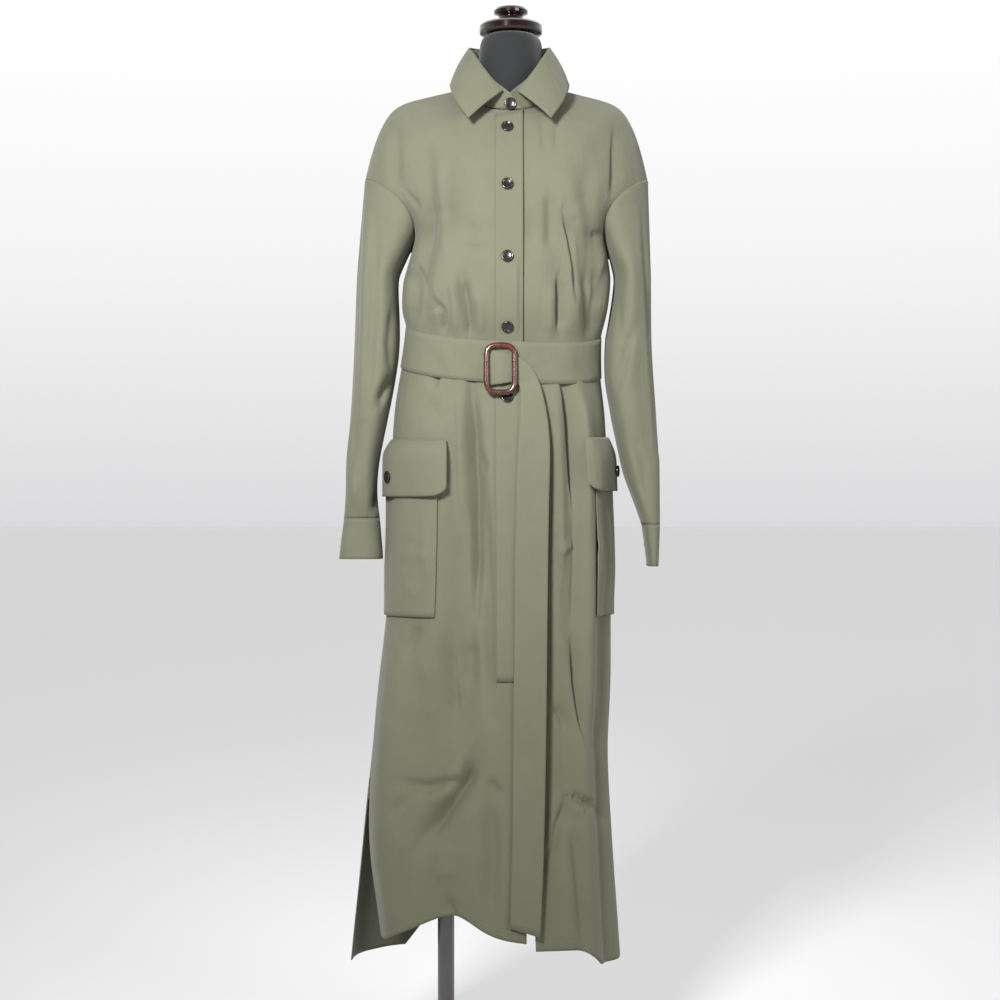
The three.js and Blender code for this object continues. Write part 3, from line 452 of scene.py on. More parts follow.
TRUNK_CREASES = (
    # Folds beside the armholes
    Crease(((-166, 1398), (-170, 1290), (-169, 1187), (-162, 1115)), -10.0, 8, sharp=-0.4),
    Crease(((156, 1390), (154, 1289), (152, 1238), (146, 1188), (136, 1115)), -10.0, 8, sharp=-0.4),
    Crease(((-153, 1274), (-131, 1248)), -3.5, 5),
    Crease(((-134, 1231), (-141, 1202), (-153, 1180), (-157, 1115)), 6.0, 7),
    Crease(((-144, 1166), (-141, 1130), (-146, 1079)), -13.0, 11),
    Crease(((-137, 1170), (-123, 1137), (-112, 1108), (-123, 1089)), -5.0, 5, sharp=0.4),
    Crease(((117, 1208), (146, 1209)), -4.0, 7),
    Crease(((127, 1166), (131, 1130), (120, 1057)), -10.0, 9),
    # Fullness that fills the sides up to the sleeves
    Crease(((-152, 1200), (-154, 1150), (-150, 1080)), 6.0, 16, outline=True),
    Crease(((-152, 1200), (-154, 1150), (-150, 1080)), 6.0, 16, Side.BACK, outline=True),
    Crease(((142, 1200), (144, 1150), (138, 1080)), 5.0, 16, outline=True),
    Crease(((142, 1200), (144, 1150), (138, 1080)), 5.0, 16, Side.BACK, outline=True),
    # Loose drape of the chest
    Crease(((-114, 1270), (-108, 1202), (-105, 1130)), -3.5, 11),
    Crease(((-79, 1260), (-67, 1224), (-43, 1205)), -2.5, 12),
    Crease(((-90, 1330), (-96, 1290), (-92, 1240)), 4.0, 16),
    Crease(((-65, 1192), (-30, 1189)), -3.0, 6),
    Crease(((30, 1238), (33, 1202)), -2.5, 7),
    Crease(((59, 1270), (60, 1230), (58, 1188)), -4.0, 9),
    Crease(((49, 1376), (50, 1332)), -2.5, 5),
    Crease(((69, 1376), (70, 1332)), -2.5, 5),
    Crease(((96, 1340), (104, 1290), (110, 1240)), -3.5, 15),
    # Gathers above the belt
    Crease(((-72, 1150), (-67, 1115), (-62, 1086), (-59, 1060)), -8.5, 6, sharp=-0.5),
    Crease(((-84, 1150), (-78, 1110), (-76, 1062)), 4.5, 7),
    Crease(((-112, 1115), (-99, 1100), (-95, 1067)), -6.5, 5),
    Crease(((-46, 1130), (-42, 1098), (-41, 1062)), 3.0, 7),
    Crease(((17, 1180), (17, 1050)), -3.0, 4),
    Crease(((80, 1245), (90, 1209), (98, 1166), (101, 1115)), -8.5, 8, sharp=-0.5),
    Crease(((72, 1151), (72, 1070)), -8.0, 6, sharp=-0.5),
    Crease(((60, 1140), (58, 1062)), 3.5, 7),
    Crease(((99, 1231), (109, 1187), (114, 1130), (113, 1057)), -5.0, 6),
    # Pleats and folds below the belt
    Crease(((-105, 1010), (-112, 990)), -6.0, 5),
    Crease(((-125, 970), (-95, 935)), -4.0, 16),
    Crease(((-57, 1000), (-56, 941), (-54, 883), (-51, 825), (-50, 752), (-48, 660)), -13.0, 7, sharp=-0.6),
    Crease(((-70, 995), (-68, 900), (-64, 780)), 6.0, 9),
    Crease(((-38, 854), (-33, 767), (-30, 680), (-28, 506)), -6.0, 8),
    Crease(((-43, 892), (-36, 865)), -4.0, 5),
    Crease(
        ((49, 975), (58, 934), (62, 883), (60, 825), (57, 752), (56, 651), (56, 535), (53, 390), (49, 187)),
        -12.0,
        8,
        sharp=-0.5,
    ),
    Crease(((76, 1002), (82, 977), (86, 941), (89, 898), (92, 854), (96, 820)), -13.0, 7, sharp=-0.6),
    Crease(((66, 990), (70, 930), (74, 850), (76, 700)), 4.0, 8),
    Crease(((98, 1000), (106, 950), (110, 890), (112, 760)), 4.5, 9),
    Crease(((96, 820), (98, 740), (94, 640)), -5.0, 7),
    Crease(((69, 748), (92, 763)), 3.5, 6),
    Crease(((142, 835), (142, 700), (139, 560), (138, 448)), -8.0, 10),
    Crease(((-163, 825), (-165, 752), (-169, 680)), -6.0, 6),
    # The skirt's middle
    Crease(((-130, 644), (-152, 600)), -5.5, 8),
    Crease(((-89, 622), (-84, 560), (-79, 506)), -5.5, 9),
    Crease(((-57, 622), (-57, 550)), -5.0, 11),
    Crease(((-118, 600), (-112, 500)), 4.0, 14),
    Crease(((62, 523), (73, 518), (85, 494)), -5.0, 5),
    Crease(((92, 622), (98, 550), (107, 506), (117, 470)), -10.0, 8, sharp=-0.5),
    Crease(((76, 640), (80, 560), (88, 520)), 4.0, 9),
    # The skirt's lower part
    Crease(((-163, 418), (-144, 413), (-123, 410), (-94, 415), (-65, 422)), -11.0, 8, sharp=0.5),
    Crease(((-160, 400), (-130, 394), (-96, 398)), 4.5, 9),
    Crease(((-179, 362), (-166, 380), (-152, 391), (-130, 405)), -6.0, 6),
    Crease(((-56, 458), (-65, 419), (-79, 400), (-108, 361), (-133, 330)), -14.0, 9, sharp=-0.6),
    Crease(((-74, 452), (-84, 424), (-106, 392), (-140, 352)), 5.0, 9),
    Crease(((-33, 419), (-21, 407), (-9, 396)), -6.0, 6),
    Crease(((-28, 390), (-26, 310), (-28, 216)), -8.0, 13),
    Crease(((-150, 330), (-158, 270), (-160, 210)), -5.0, 14),
    Crease(((-100, 330), (-96, 270)), 4.0, 14),
    Crease(((-94, 245), (-79, 223)), -4.0, 7),
    Crease(((91, 397), (102, 394), (124, 378)), -10.0, 7, sharp=0.6),
    Crease(((94, 382), (112, 374)), 3.5, 7),
    Crease(((85, 390), (73, 354), (67, 317), (54, 300)), -6.5, 6),
    Crease(((98, 361), (108, 260), (117, 158)), -8.0, 12),
    Crease(((82, 300), (86, 220), (90, 165)), 4.0, 11),
    # The back, as uneven as the front
    Crease(((-90, 1072), (-84, 1140), (-70, 1240)), -7.0, 6, Side.BACK),
    Crease(((-48, 1072), (-50, 1130), (-44, 1210)), 5.0, 7, Side.BACK),
    Crease(((-16, 1072), (-18, 1160), (-26, 1270)), -7.0, 6, Side.BACK, 0.4),
    Crease(((26, 1072), (22, 1120), (30, 1190)), 4.0, 7, Side.BACK),
    Crease(((58, 1072), (64, 1140), (60, 1236)), -6.5, 5, Side.BACK),
    Crease(((98, 1072), (104, 1140), (122, 1250)), -8.0, 7, Side.BACK),
    Crease(((-108, 1330), (-60, 1300), (0, 1290), (60, 1302), (112, 1334)), -4.0, 18, Side.BACK),
    Crease(((-86, 1004), (-90, 900), (-84, 760)), -8.0, 6, Side.BACK, 0.5),
    Crease(((-30, 1004), (-36, 880), (-30, 700), (-38, 480)), -9.5, 8, Side.BACK, -0.4),
    Crease(((38, 1004), (36, 900), (44, 740)), -8.0, 7, Side.BACK, 0.4),
    Crease(((92, 1004), (98, 860), (92, 640), (102, 420)), -9.5, 9, Side.BACK),
    Crease(((-128, 470), (-70, 440), (-10, 452)), -6.5, 10, Side.BACK),
    Crease(((14, 430), (60, 400), (118, 330)), -8.0, 8, Side.BACK, 0.4),
    Crease(((-60, 380), (-72, 290), (-80, 190)), -9.5, 13, Side.BACK),
    Crease(((62, 340), (56, 260), (60, 180)), -8.0, 12, Side.BACK),
)

SLEEVE_CREASES = (
    # The wearer's right sleeve
    Crease(((-216, 1270), (-222, 1130), (-226, 980), (-228, 850)), -5.0, 8, sharp=0.3),
    Crease(((-204, 1260), (-208, 1100), (-212, 940)), 3.0, 9),
    Crease(((-194, 1240), (-197, 1100), (-206, 960)), -3.5, 8),
    Crease(((-164, 1004), (-178, 985), (-190, 962)), -9.0, 7, sharp=0.4),
    Crease(((-168, 1110), (-175, 1050), (-170, 1010)), -5.0, 6),
    Crease(((-182, 870), (-191, 830), (-196, 800)), -6.0, 6),
    Crease(((-222, 900), (-228, 860), (-224, 815)), 3.0, 6),
    Crease(((-214, 1180), (-206, 1080), (-214, 980)), -6.0, 9, Side.BACK),
    Crease(((-170, 1010), (-196, 996), (-226, 1002)), -5.0, 9, Side.BACK),
    Crease(((-176, 950), (-206, 936), (-230, 942)), -4.0, 8, Side.BACK),
    Crease(((-200, 900), (-214, 850), (-212, 810)), -5.0, 7, Side.BACK),
    # The wearer's left sleeve
    Crease(((190, 1282), (201, 1115), (211, 970), (214, 897)), -6.0, 6, sharp=-0.5),
    Crease(((176, 1210), (182, 1100), (178, 1000)), 3.0, 12),
    Crease(((183, 1086), (163, 1014), (149, 970)), -4.0, 8),
    Crease(((160, 1180), (156, 1120), (160, 1060)), -4.0, 8),
    Crease(((178, 930), (192, 880), (200, 820)), -3.5, 8),
    Crease(((143, 1130), (140, 1040), (146, 950)), 7.0, 18, outline=True),
    Crease(((143, 1130), (140, 1040), (146, 950)), 7.0, 18, Side.BACK, outline=True),
    Crease(((200, 1180), (190, 1080), (192, 980)), -6.0, 9, Side.BACK),
    Crease(((154, 985), (180, 972), (204, 980)), -5.0, 9, Side.BACK),
    Crease(((168, 915), (194, 898), (212, 905)), -4.5, 8, Side.BACK),
)


BELT_CREASES = (
    Crease(((-66, 1042), (-42, 1034)), -1.4, 5),
    Crease(((-72, 1024), (-44, 1016)), -1.6, 5),
    Crease(((24, 1032), (58, 1040)), -1.4, 5),
    Crease(((30, 1016), (66, 1022)), -1.4, 5),
    Crease(((-100, 1050), (-84, 1012)), 1.5, 8),
    Crease(((84, 1050), (92, 1014)), 1.5, 8),
)

POCKET_CREASES = (
    Crease(((-160, 752), (-112, 744)), 2.6, 6, sharp=0.4),
    Crease(((-150, 776), (-122, 768)), 2.0, 5),
    Crease(((-122, 806), (-118, 700)), 2.6, 9),
    Crease(((-160, 700), (-128, 690)), 1.8, 6),
    Crease(((133, 800), (136, 700)), 2.0, 6),
    Crease(((124, 760), (144, 752)), 1.8, 6),
)


def hold_rims(bm: bmesh.types.BMesh) -> None:
    """Keeps the cut edges of a cloth wall in their place when it is made finer.

    Args:
        bm: the piece, whose rims are bands as wide as its wall is thick.
    """
    bm.normal_update()
    hold = bm.edges.layers.float.new("crease_edge")
    rims = {f for f in bm.faces if min(e.calc_length() for e in f.edges) < RIM_WIDTH}
    for edge in bm.edges:
        if rims.intersection(edge.link_faces) and edge.calc_face_angle(0.0) > RIM_ANGLE:
            edge[hold] = 1.0


def merged_copy(name: str, finish: Finish) -> bpy.types.Object:
    """Copies a CAD node into a piece of its own that rides and stands for it.

    Args:
        name: the CAD node's name.
        finish: the piece's finish.

    Returns:
        The new object, with its vertices merged and its triangles joined into quads.
    """
    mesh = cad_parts[name].data.copy()
    mesh.name = name + "_look"
    made = bpy.data.objects.new(name + "_look", mesh)
    bpy.context.scene.collection.objects.link(made)
    bm = bmesh.new()
    bm.from_mesh(mesh)
    bmesh.ops.remove_doubles(bm, verts=bm.verts, dist=MERGE)
    bmesh.ops.join_triangles(
        bm,
        faces=bm.faces,
        angle_face_threshold=math.radians(60),
        angle_shape_threshold=math.radians(70),
    )
    hold_rims(bm)
    bm.to_mesh(mesh)
    bm.free()
    mesh.materials.clear()
    mesh.materials.append(finish.material())
    mesh.shade_smooth()
    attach(made, "root")
    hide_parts(name)
    return made


def refine(obj: bpy.types.Object, levels: int) -> None:
    """Makes a piece finer and smoother by subdivision, applied to its mesh.

    Args:
        obj: the piece.
        levels: how many times each face is cut into four.
    """
    step = obj.modifiers.new("finer", "SUBSURF")
    step.levels = levels
    step.render_levels = levels
    evaluated = obj.evaluated_get(bpy.context.evaluated_depsgraph_get())
    finer = bpy.data.meshes.new_from_object(evaluated)
    finer.name = obj.data.name
    obj.modifiers.clear()
    obj.data = finer
    finer.shade_smooth()
    finer.set_sharp_from_angle(angle=math.radians(48))


def coordinates(mesh: bpy.types.Mesh) -> np.ndarray:
    """Reads a mesh's points, in millimetres."""
    flat = np.zeros(len(mesh.vertices) * 3)
    mesh.vertices.foreach_get("co", flat)
    return flat.reshape(-1, 3) / MM


def set_coordinates(mesh: bpy.types.Mesh, points: np.ndarray) -> None:
    """Writes a mesh's points.

    Args:
        mesh: the mesh.
        points: its new points, in millimetres.
    """
    mesh.vertices.foreach_set("co", (points * MM).ravel())
    mesh.update()


@dataclass(frozen=True)
class Tube:
    """Line that a hollow piece runs round, which creases point away from.

    Attributes:
        centres: rows of height, x and y of the line, from the top down.
    """

    centres: tuple[tuple[float, float, float], ...]

    def outward(self, points: np.ndarray) -> tuple[np.ndarray, np.ndarray]:
        """Gives each point's level direction away from the line.

        Args:
            points: places in millimetres.

        Returns:
            Unit directions, and each point's distance before (minus) or behind the line.
        """
        rows = np.array(sorted(self.centres))
        cx = np.interp(points[:, 2], rows[:, 0], rows[:, 1])
        cy = np.interp(points[:, 2], rows[:, 0], rows[:, 2])
        away = np.stack([points[:, 0] - cx, points[:, 1] - cy, np.zeros(len(points))], axis=1)
        size = np.linalg.norm(away, axis=1, keepdims=True)
        return away / np.maximum(size, 1e-6), away[:, 1]


TRUNK_LINE = Tube(((1434, 0, 0), (150, 0, 0)))
RIGHT_ARM_LINE = Tube(((1290, -200, 0), (1145, -192, 0), (1045, -192, -4), (870, -214, -16), (740, -214, -24)))
LEFT_ARM_LINE = Tube(((1290, 200, 0), (1145, 180, 0), (1045, 174, -4), (870, 194, -16), (740, 208, -24)))


def surface_of(mesh: bpy.types.Mesh) -> BVHTree:
    """Makes a mesh's faces ready to be measured to."""
    return BVHTree.FromPolygons([v.co for v in mesh.vertices], [tuple(f.vertices) for f in mesh.polygons])


def close_seam(obj: bpy.types.Object, neighbours: tuple[str, ...]) -> None:
    """Draws a piece's cut edge up to the finished pieces that it is sewn to.

    Args:
        obj: the piece.
        neighbours: CAD nodes of those pieces.
    """
    for name in neighbours:
        surface = surface_of(bpy.data.objects[name + "_look"].data)
        for vertex in obj.data.vertices:
            place, _, _, far = surface.find_nearest(vertex.co, SEAM_GAP)
            if place is not None:
                vertex.co = vertex.co.lerp(place, 0.9)
    obj.data.update()


def clear_of(points: np.ndarray, neighbours: tuple[str, ...]) -> np.ndarray:
    """Gives how far each point is from the pieces that its own piece is sewn to.

    Args:
        points: places in millimetres.
        neighbours: CAD nodes of those pieces.

    Returns:
        0 at a seam, rising to 1 at SEAM_REACH from it.
    """
    share = np.ones(len(points))
    for name in neighbours:
        surface = surface_of(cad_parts[name].data)
        reach = SEAM_REACH * MM
        for k, point in enumerate(points):
            _, _, _, far = surface.find_nearest(point * MM, reach)
            if far is not None:
                share[k] = min(share[k], far / reach)
    return eased(share)


def lay_creases(
    obj: bpy.types.Object, creases: tuple[Crease, ...], line: Tube, neighbours: tuple[str, ...]
) -> None:
    """Moves a piece's points in and out by the creases that cross it.

    Args:
        obj: the piece.
        creases: the creases, each in its own place.
        line: the line that the piece runs round.
        neighbours: CAD nodes whose seam with the piece stays where it is.
    """
    if not creases:
        return
    points = coordinates(obj.data)
    outward, behind = line.outward(points)
    scale = EYE_DISTANCE / (EYE_DISTANCE - np.abs(points[:, 1]))
    across = EYE[0] + (points[:, 0] - EYE[0]) * scale
    height = EYE[1] + (points[:, 2] - EYE[1]) * scale
    facing = np.clip(np.abs(outward[:, 1]) * FACING, 0, 1)
    move = np.zeros(len(points))
    for crease in creases:
        near = np.clip(0.5 + crease.side.value * behind / SIDE_TURN, 0, 1)
        share = near if crease.outline else near * facing * FOLD_DEPTH
        move += share * crease.height(across, height)
    move *= clear_of(points, neighbours)
    set_coordinates(obj.data, points + outward * move[:, None])


@dataclass
class ClothPiece:
    """One cut piece of the dress.

    Attributes:
        name: its CAD node.
        width: width of its cut, in metres.
        length: length of its cut, in metres.
        area: its cut's area, in square metres.
        creases: the creases that may cross it.
        line: the line that it runs round.
        levels: how many times it is made finer.
        sewn_to: CAD nodes sewn to its cut edge, where it has no creases.
        joins: those made before it, which its edge is drawn up to.
    """

    name: str
    width: float
    length: float
    area: float
    creases: tuple[Crease, ...] = TRUNK_CREASES
    line: Tube = TRUNK_LINE
    levels: int = 2
    sewn_to: tuple[str, ...] = ()
    joins: tuple[str, ...] = ()

    def build(self, cloth: Twill) -> bpy.types.Object:
        """Makes the piece.

        Args:
            cloth: its finish.

        Returns:
            The piece's object.
        """
        made = merged_copy(self.name, cloth)
        refine(made, self.levels)
        lay_creases(made, self.creases, self.line, self.sewn_to)
        close_seam(made, self.joins)
        return made

    def declare(self, obj: bpy.types.Object, rests_on: list[str], sewing: list[bpy.types.Object]) -> None:
        """Does nothing.

        Args:
            obj: not used.
            rests_on: not used.
            sewing: not used.
        """


CLOTH_PIECES = (
    ClothPiece("front_right", 0.30, 1.26, 0.33, levels=3, sewn_to=("sleeve_right",)),
    ClothPiece("front_left", 0.29, 1.29, 0.29, levels=3, sewn_to=("sleeve_left",)),
    ClothPiece(
        "back",
        0.60,
        1.30,
        0.60,
        levels=3,
        sewn_to=("sleeve_right", "sleeve_left"),
        joins=("front_right", "front_left"),
    ),
    ClothPiece("front_placket", 0.042, 0.83, 0.033),
    ClothPiece(
        "sleeve_right",
        0.38,
        0.50,
        0.135,
        SLEEVE_CREASES,
        RIGHT_ARM_LINE,
        levels=3,
        sewn_to=("front_right", "back", "cuff_right"),
        joins=("front_right", "back"),
    ),
    ClothPiece(
        "sleeve_left",
        0.38,
        0.50,
        0.14,
        SLEEVE_CREASES,
        LEFT_ARM_LINE,
        levels=3,
        sewn_to=("front_left", "back", "cuff_left"),
        joins=("front_left", "back"),
    ),
    ClothPiece("cuff_right", 0.20, 0.058, 0.0112, (), joins=("sleeve_right",)),
    ClothPiece("cuff_left", 0.20, 0.059, 0.0115, (), joins=("sleeve_left",)),
    ClothPiece("collar_stand", 0.46, 0.055, 0.021, ()),
    ClothPiece("collar_fall", 0.47, 0.075, 0.027, ()),
    ClothPiece("pocket_right", 0.21, 0.24, 0.044, POCKET_CREASES),
    ClothPiece("pocket_flap_right", 0.25, 0.085, 0.020, ()),
    ClothPiece("pocket_left", 0.20, 0.24, 0.041, POCKET_CREASES),
    ClothPiece("pocket_flap_left", 0.23, 0.080, 0.0175, ()),
    ClothPiece("belt_band", 0.80, 0.062, 0.047, BELT_CREASES),
    ClothPiece("belt_end", 0.052, 0.92, 0.043, ()),
)

HARD_PIECES = {
    "belt_buckle": (RESIN, "buckle_resin", 2),
    "form_body": (BLACK_COVER, "form_cover", 2),
}
EDGED_PIECES = {
    "form_cap": (LACQUER, "lacquered_wood"),
    "form_knob": (LACQUER, "lacquered_wood"),
    "stand_pole": (STEEL, "pole_steel"),
    "stand_socket": (PAINT, "base_paint"),
    "stand_base": (PAINT, "base_paint"),
}


@dataclass
class Button:
    """A four-hole horn button, turned round its CAD node's own axis.

    Attributes:
        name: its CAD node.
        radius: outer radius in millimetres.
        thick: height of its rim in millimetres.
    """

    name: str
    radius: float = 8.5
    thick: float = 3.2

    ROUND: ClassVar[int] = 28  # corners of its outline
    DISH: ClassVar[float] = 1.3  # depth of its middle under the rim
    HOLE_PLACE: ClassVar[float] = 1.5  # of each hole's middle, along both of the button's axes
    HOLE_RADIUS: ClassVar[float] = 0.75

    def build(self) -> bpy.types.Object:
        """Makes the button with its holes in place of its CAD node."""
        source = coordinates(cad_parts[self.name].data)
        low, high = source.min(axis=0), source.max(axis=0)
        middle = (low + high) / 2
        spread = np.linalg.svd(source - source.mean(axis=0), full_matrices=False)[2]
        axis = spread[2]
        away = middle * np.array([1, 1, 0])
        if axis @ away < 0:
            axis = -axis
        bm = bmesh.new()
        self.turn(bm)
        holes = self.holes(bm)
        turn = Vector((0, 0, 1)).rotation_difference(Vector(axis)).to_matrix().to_4x4()
        place = Matrix.Translation(Vector(middle) * MM) @ turn
        bmesh.ops.transform(bm, matrix=place, verts=bm.verts)
        mesh = bpy.data.meshes.new(self.name + "_look")
        bm.to_mesh(mesh)
        bm.free()
        mesh.materials.append(HORN.material())
        mesh.materials.append(HOLE.material())
        for polygon in mesh.polygons:
            polygon.use_smooth = True
            polygon.material_index = 1 if polygon.index >= holes else 0
        mesh.set_sharp_from_angle(angle=math.radians(50))
        made = bpy.data.objects.new(self.name + "_look", mesh)
        bpy.context.scene.collection.objects.link(made)
        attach(made, "root")
        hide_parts(self.name)
        return made

    def turn(self, bm: bmesh.types.BMesh) -> None:
        """Turns the dished disc and its raised rim round +Z.

        Args:
            bm: the mesh that it goes into.
        """
        r, h = self.radius, self.thick / 2
        profile = (
            (0.01, -h),
            (r - 1.2, -h),
            (r - 0.3, -h + 0.5),
            (r, -h + 1.3),
            (r - 0.3, h - 0.5),
            (r - 1.1, h),
            (r - 2.0, h - 0.25),
            (r - 2.8, h - 1.0),
            (r - 3.8, h - self.DISH),
            (0.01, h - self.DISH),
        )
        rings = []
        count = self.ROUND
        for radius, height in profile:
            ring = []
            for k in range(count):
                a = 2 * math.pi * k / count
                ring.append(bm.verts.new((radius * math.cos(a) * MM, radius * math.sin(a) * MM, height * MM)))
            rings.append(ring)
        for lower, upper in zip(rings, rings[1:]):
            for k in range(count):
                bm.faces.new((lower[k], lower[(k + 1) % count], upper[(k + 1) % count], upper[k]))
        bm.faces.new(list(reversed(rings[0])))
        bm.faces.new(rings[-1])

    def holes(self, bm: bmesh.types.BMesh) -> int:
        """Sets four dark discs in the dish.

        Args:
            bm: the mesh that they go into.

        Returns:
            How many faces the mesh had before them.
        """
        bm.faces.ensure_lookup_table()
        before = len(bm.faces)
        for sx in (-1, 1):
            for sy in (-1, 1):
                middle = (sx * self.HOLE_PLACE, sy * self.HOLE_PLACE, self.thick / 2 - self.DISH)
                place = Matrix.Translation(Vector(middle) * MM)
                bmesh.ops.create_cone(
                    bm,
                    cap_ends=True,
                    segments=10,
                    radius1=self.HOLE_RADIUS * MM,
                    radius2=self.HOLE_RADIUS * MM,
                    depth=0.16 * MM,
                    matrix=place,
                )
        return before


@dataclass(frozen=True)
class Seam:
    """A row of topstitching, drawn as seen from one side and sewn on the piece behind it.

    Attributes:
        piece: the cloth piece's name.
        points: its corners, as places that look along the view direction.
        toward: the direction that the needle looks in.
        step: distance from one stitch to the next, in millimetres.
    """

    piece: str
    points: tuple[tuple[float, float, float], ...]
    toward: tuple[float, float, float] = (0.0, 1.0, 0.0)
    step: float = 4.2


class Sewing:
    """All the stitches of one piece, as one mesh of short rounded threads."""

    LENGTH = 3.0  # of one stitch
    RADIUS = 0.32
    SIDES = 5  # of a thread's section
    JUMP = 4.0  # a longer step on the cloth crosses an edge, and no stitch is laid there
    REACH = 400.0  # how far off the needle starts

    def __init__(self, piece: bpy.types.Object, name: str) -> None:
        """Readies the piece's surface.

        Args:
            piece: the cloth.
            name: the sewing's name.
        """
        points = [v.co.copy() for v in piece.data.vertices]
        faces = [tuple(p.vertices) for p in piece.data.polygons]
        self.surface = BVHTree.FromPolygons(points, faces)
        self.name = name
        self.bm = bmesh.new()
        self.count = 0

    def run(self, seam: Seam) -> None:
        """Sews one row.

        Args:
            seam: the row.
        """
        toward = Vector(seam.toward).normalized()
        for start, end in zip(seam.points, seam.points[1:]):
            a, b = Vector(start), Vector(end)
            count = max(1, round((b - a).length / seam.step))
            for k in range(count):
                centre = a.lerp(b, (k + 0.5) / count)
                along = (b - a).normalized()
                hit = self.hit(centre, toward)
                ahead = self.hit(centre + along * self.LENGTH / 2, toward)
                if hit and ahead and (ahead[0] - hit[0]).length < self.JUMP * MM:
                    self.stitch(hit[0], (ahead[0] - hit[0]).normalized(), hit[1])

    def hit(self, place: Vector, toward: Vector) -> tuple[Vector, Vector] | None:
        """Finds where the needle meets the cloth.

        Args:
            place: a point on the needle's line, in millimetres.
            toward: the needle's direction.

        Returns:
            The point and the cloth's direction there, or nothing.
        """
        origin = (place - toward * self.REACH) * MM
        found, normal, _, _ = self.surface.ray_cast(origin, toward)
        if found is None:
            return None
        if normal.dot(toward) > 0:
            normal = -normal
        return found, normal

    def stitch(self, centre: Vector, along: Vector, normal: Vector) -> None:
        """Lays one thread on the cloth.

        Args:
            centre: its middle.
            along: its direction.
            normal: the cloth's direction out.
        """
        across = along.cross(normal).normalized()
        half = self.LENGTH / 2 * MM
        r = self.RADIUS * MM
        rows = []
        for share, thin in ((-1.0, 0.35), (-0.6, 1.0), (0.6, 1.0), (1.0, 0.35)):
            middle = centre + along * (half * share)
            ring = []
            for k in range(self.SIDES):
                a = 2 * math.pi * k / self.SIDES
                lift = across * math.cos(a) + normal * (math.sin(a) + 0.3)
                ring.append(self.bm.verts.new(middle + lift * (r * thin)))
            rows.append(ring)
        for low, high in zip(rows, rows[1:]):
            for k in range(self.SIDES):
                after = (k + 1) % self.SIDES
                self.bm.faces.new((low[k], high[k], high[after], low[after]))
        self.bm.faces.new(list(reversed(rows[0])))
        self.bm.faces.new(rows[-1])
        self.count += 1

    def finish(self) -> bpy.types.Object | None:
        """Makes the stitches one object, or nothing where none was sewn."""
        if not self.count:
            self.bm.free()
            return None
        bmesh.ops.recalc_face_normals(self.bm, faces=self.bm.faces)
        mesh = bpy.data.meshes.new(self.name)
        self.bm.to_mesh(mesh)
        self.bm.free()
        mesh.materials.append(THREAD.material())
        mesh.shade_smooth()
        made = bpy.data.objects.new(self.name, mesh)
        bpy.context.scene.collection.objects.link(made)
        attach(made, "root")
        return made


def straight(*places: tuple[float, float]) -> tuple[tuple[float, float, float], ...]:
    """Turns places seen from the front or back into points of a seam."""
    return tuple((x, 0.0, z) for x, z in places)


def seams() -> list[Seam]:
    """Lists the dress's topstitching."""
    back = (0.0, -1.0, 0.0)
    return [
        Seam("front_placket", straight((14, 1380), (14, 600))),
        Seam("front_placket", straight((-15, 1384), (-15, 578))),
        Seam("front_placket", straight((-13, 572), (4, 572)), step=1.6),
        Seam("collar_fall", straight((-52, 1454), (-76, 1407), (-58, 1371), (-18, 1399))),
        Seam("collar_fall", straight((45, 1454), (71, 1406), (64, 1374), (14, 1398))),
        Seam("front_right", straight((-203, 1290), (-175, 1281), (-151, 1264), (-135, 1237), (-137, 1197))),
        Seam("front_left", straight((193, 1290), (166, 1281), (142, 1264), (129, 1237), (131, 1197))),
        Seam("front_right", straight((-20, 1440), (-90, 1416), (-160, 1394))),
        Seam("pocket_flap_right", straight((-169, 902), (-89, 900), (-89, 845), (-96, 835), (-169, 839))),
        Seam("pocket_flap_right", straight((-169, 896), (-95, 894))),
        Seam("pocket_right", straight((-106, 826), (-106, 670), (-169, 670))),
        Seam("pocket_flap_left", straight((112, 902), (120, 847), (146, 845))),
        Seam("pocket_flap_left", straight((112, 902), (146, 904))),
        Seam("pocket_left", straight((126, 836), (126, 673), (146, 673))),
        Seam("belt_band", straight((-130, 1066), (-70, 1056), (-40, 1048))),
        Seam("belt_band", straight((24, 1046), (60, 1048), (118, 1058))),
        Seam("belt_band", straight((-132, 1014), (-70, 1000), (-40, 996))),
        Seam("belt_band", straight((60, 994), (118, 1004))),
        Seam("belt_end", straight((15, 880), (12, 740), (9, 500), (5, 300), (3, 206))),
        Seam("belt_end", straight((57, 880), (56, 740), (53, 500), (49, 300), (44, 210))),
        Seam("front_right", straight((-190, 457), (-195, 367), (-190, 310), (-178, 210))),
        Seam("back", straight((-118, 1330), (-60, 1318), (0, 1314), (60, 1318), (118, 1330)), back),
        Seam("belt_band", straight((-118, 1060), (0, 1066), (112, 1060)), back),
        Seam("belt_band", straight((-118, 1012), (0, 1014), (112, 1012)), back),
    ]


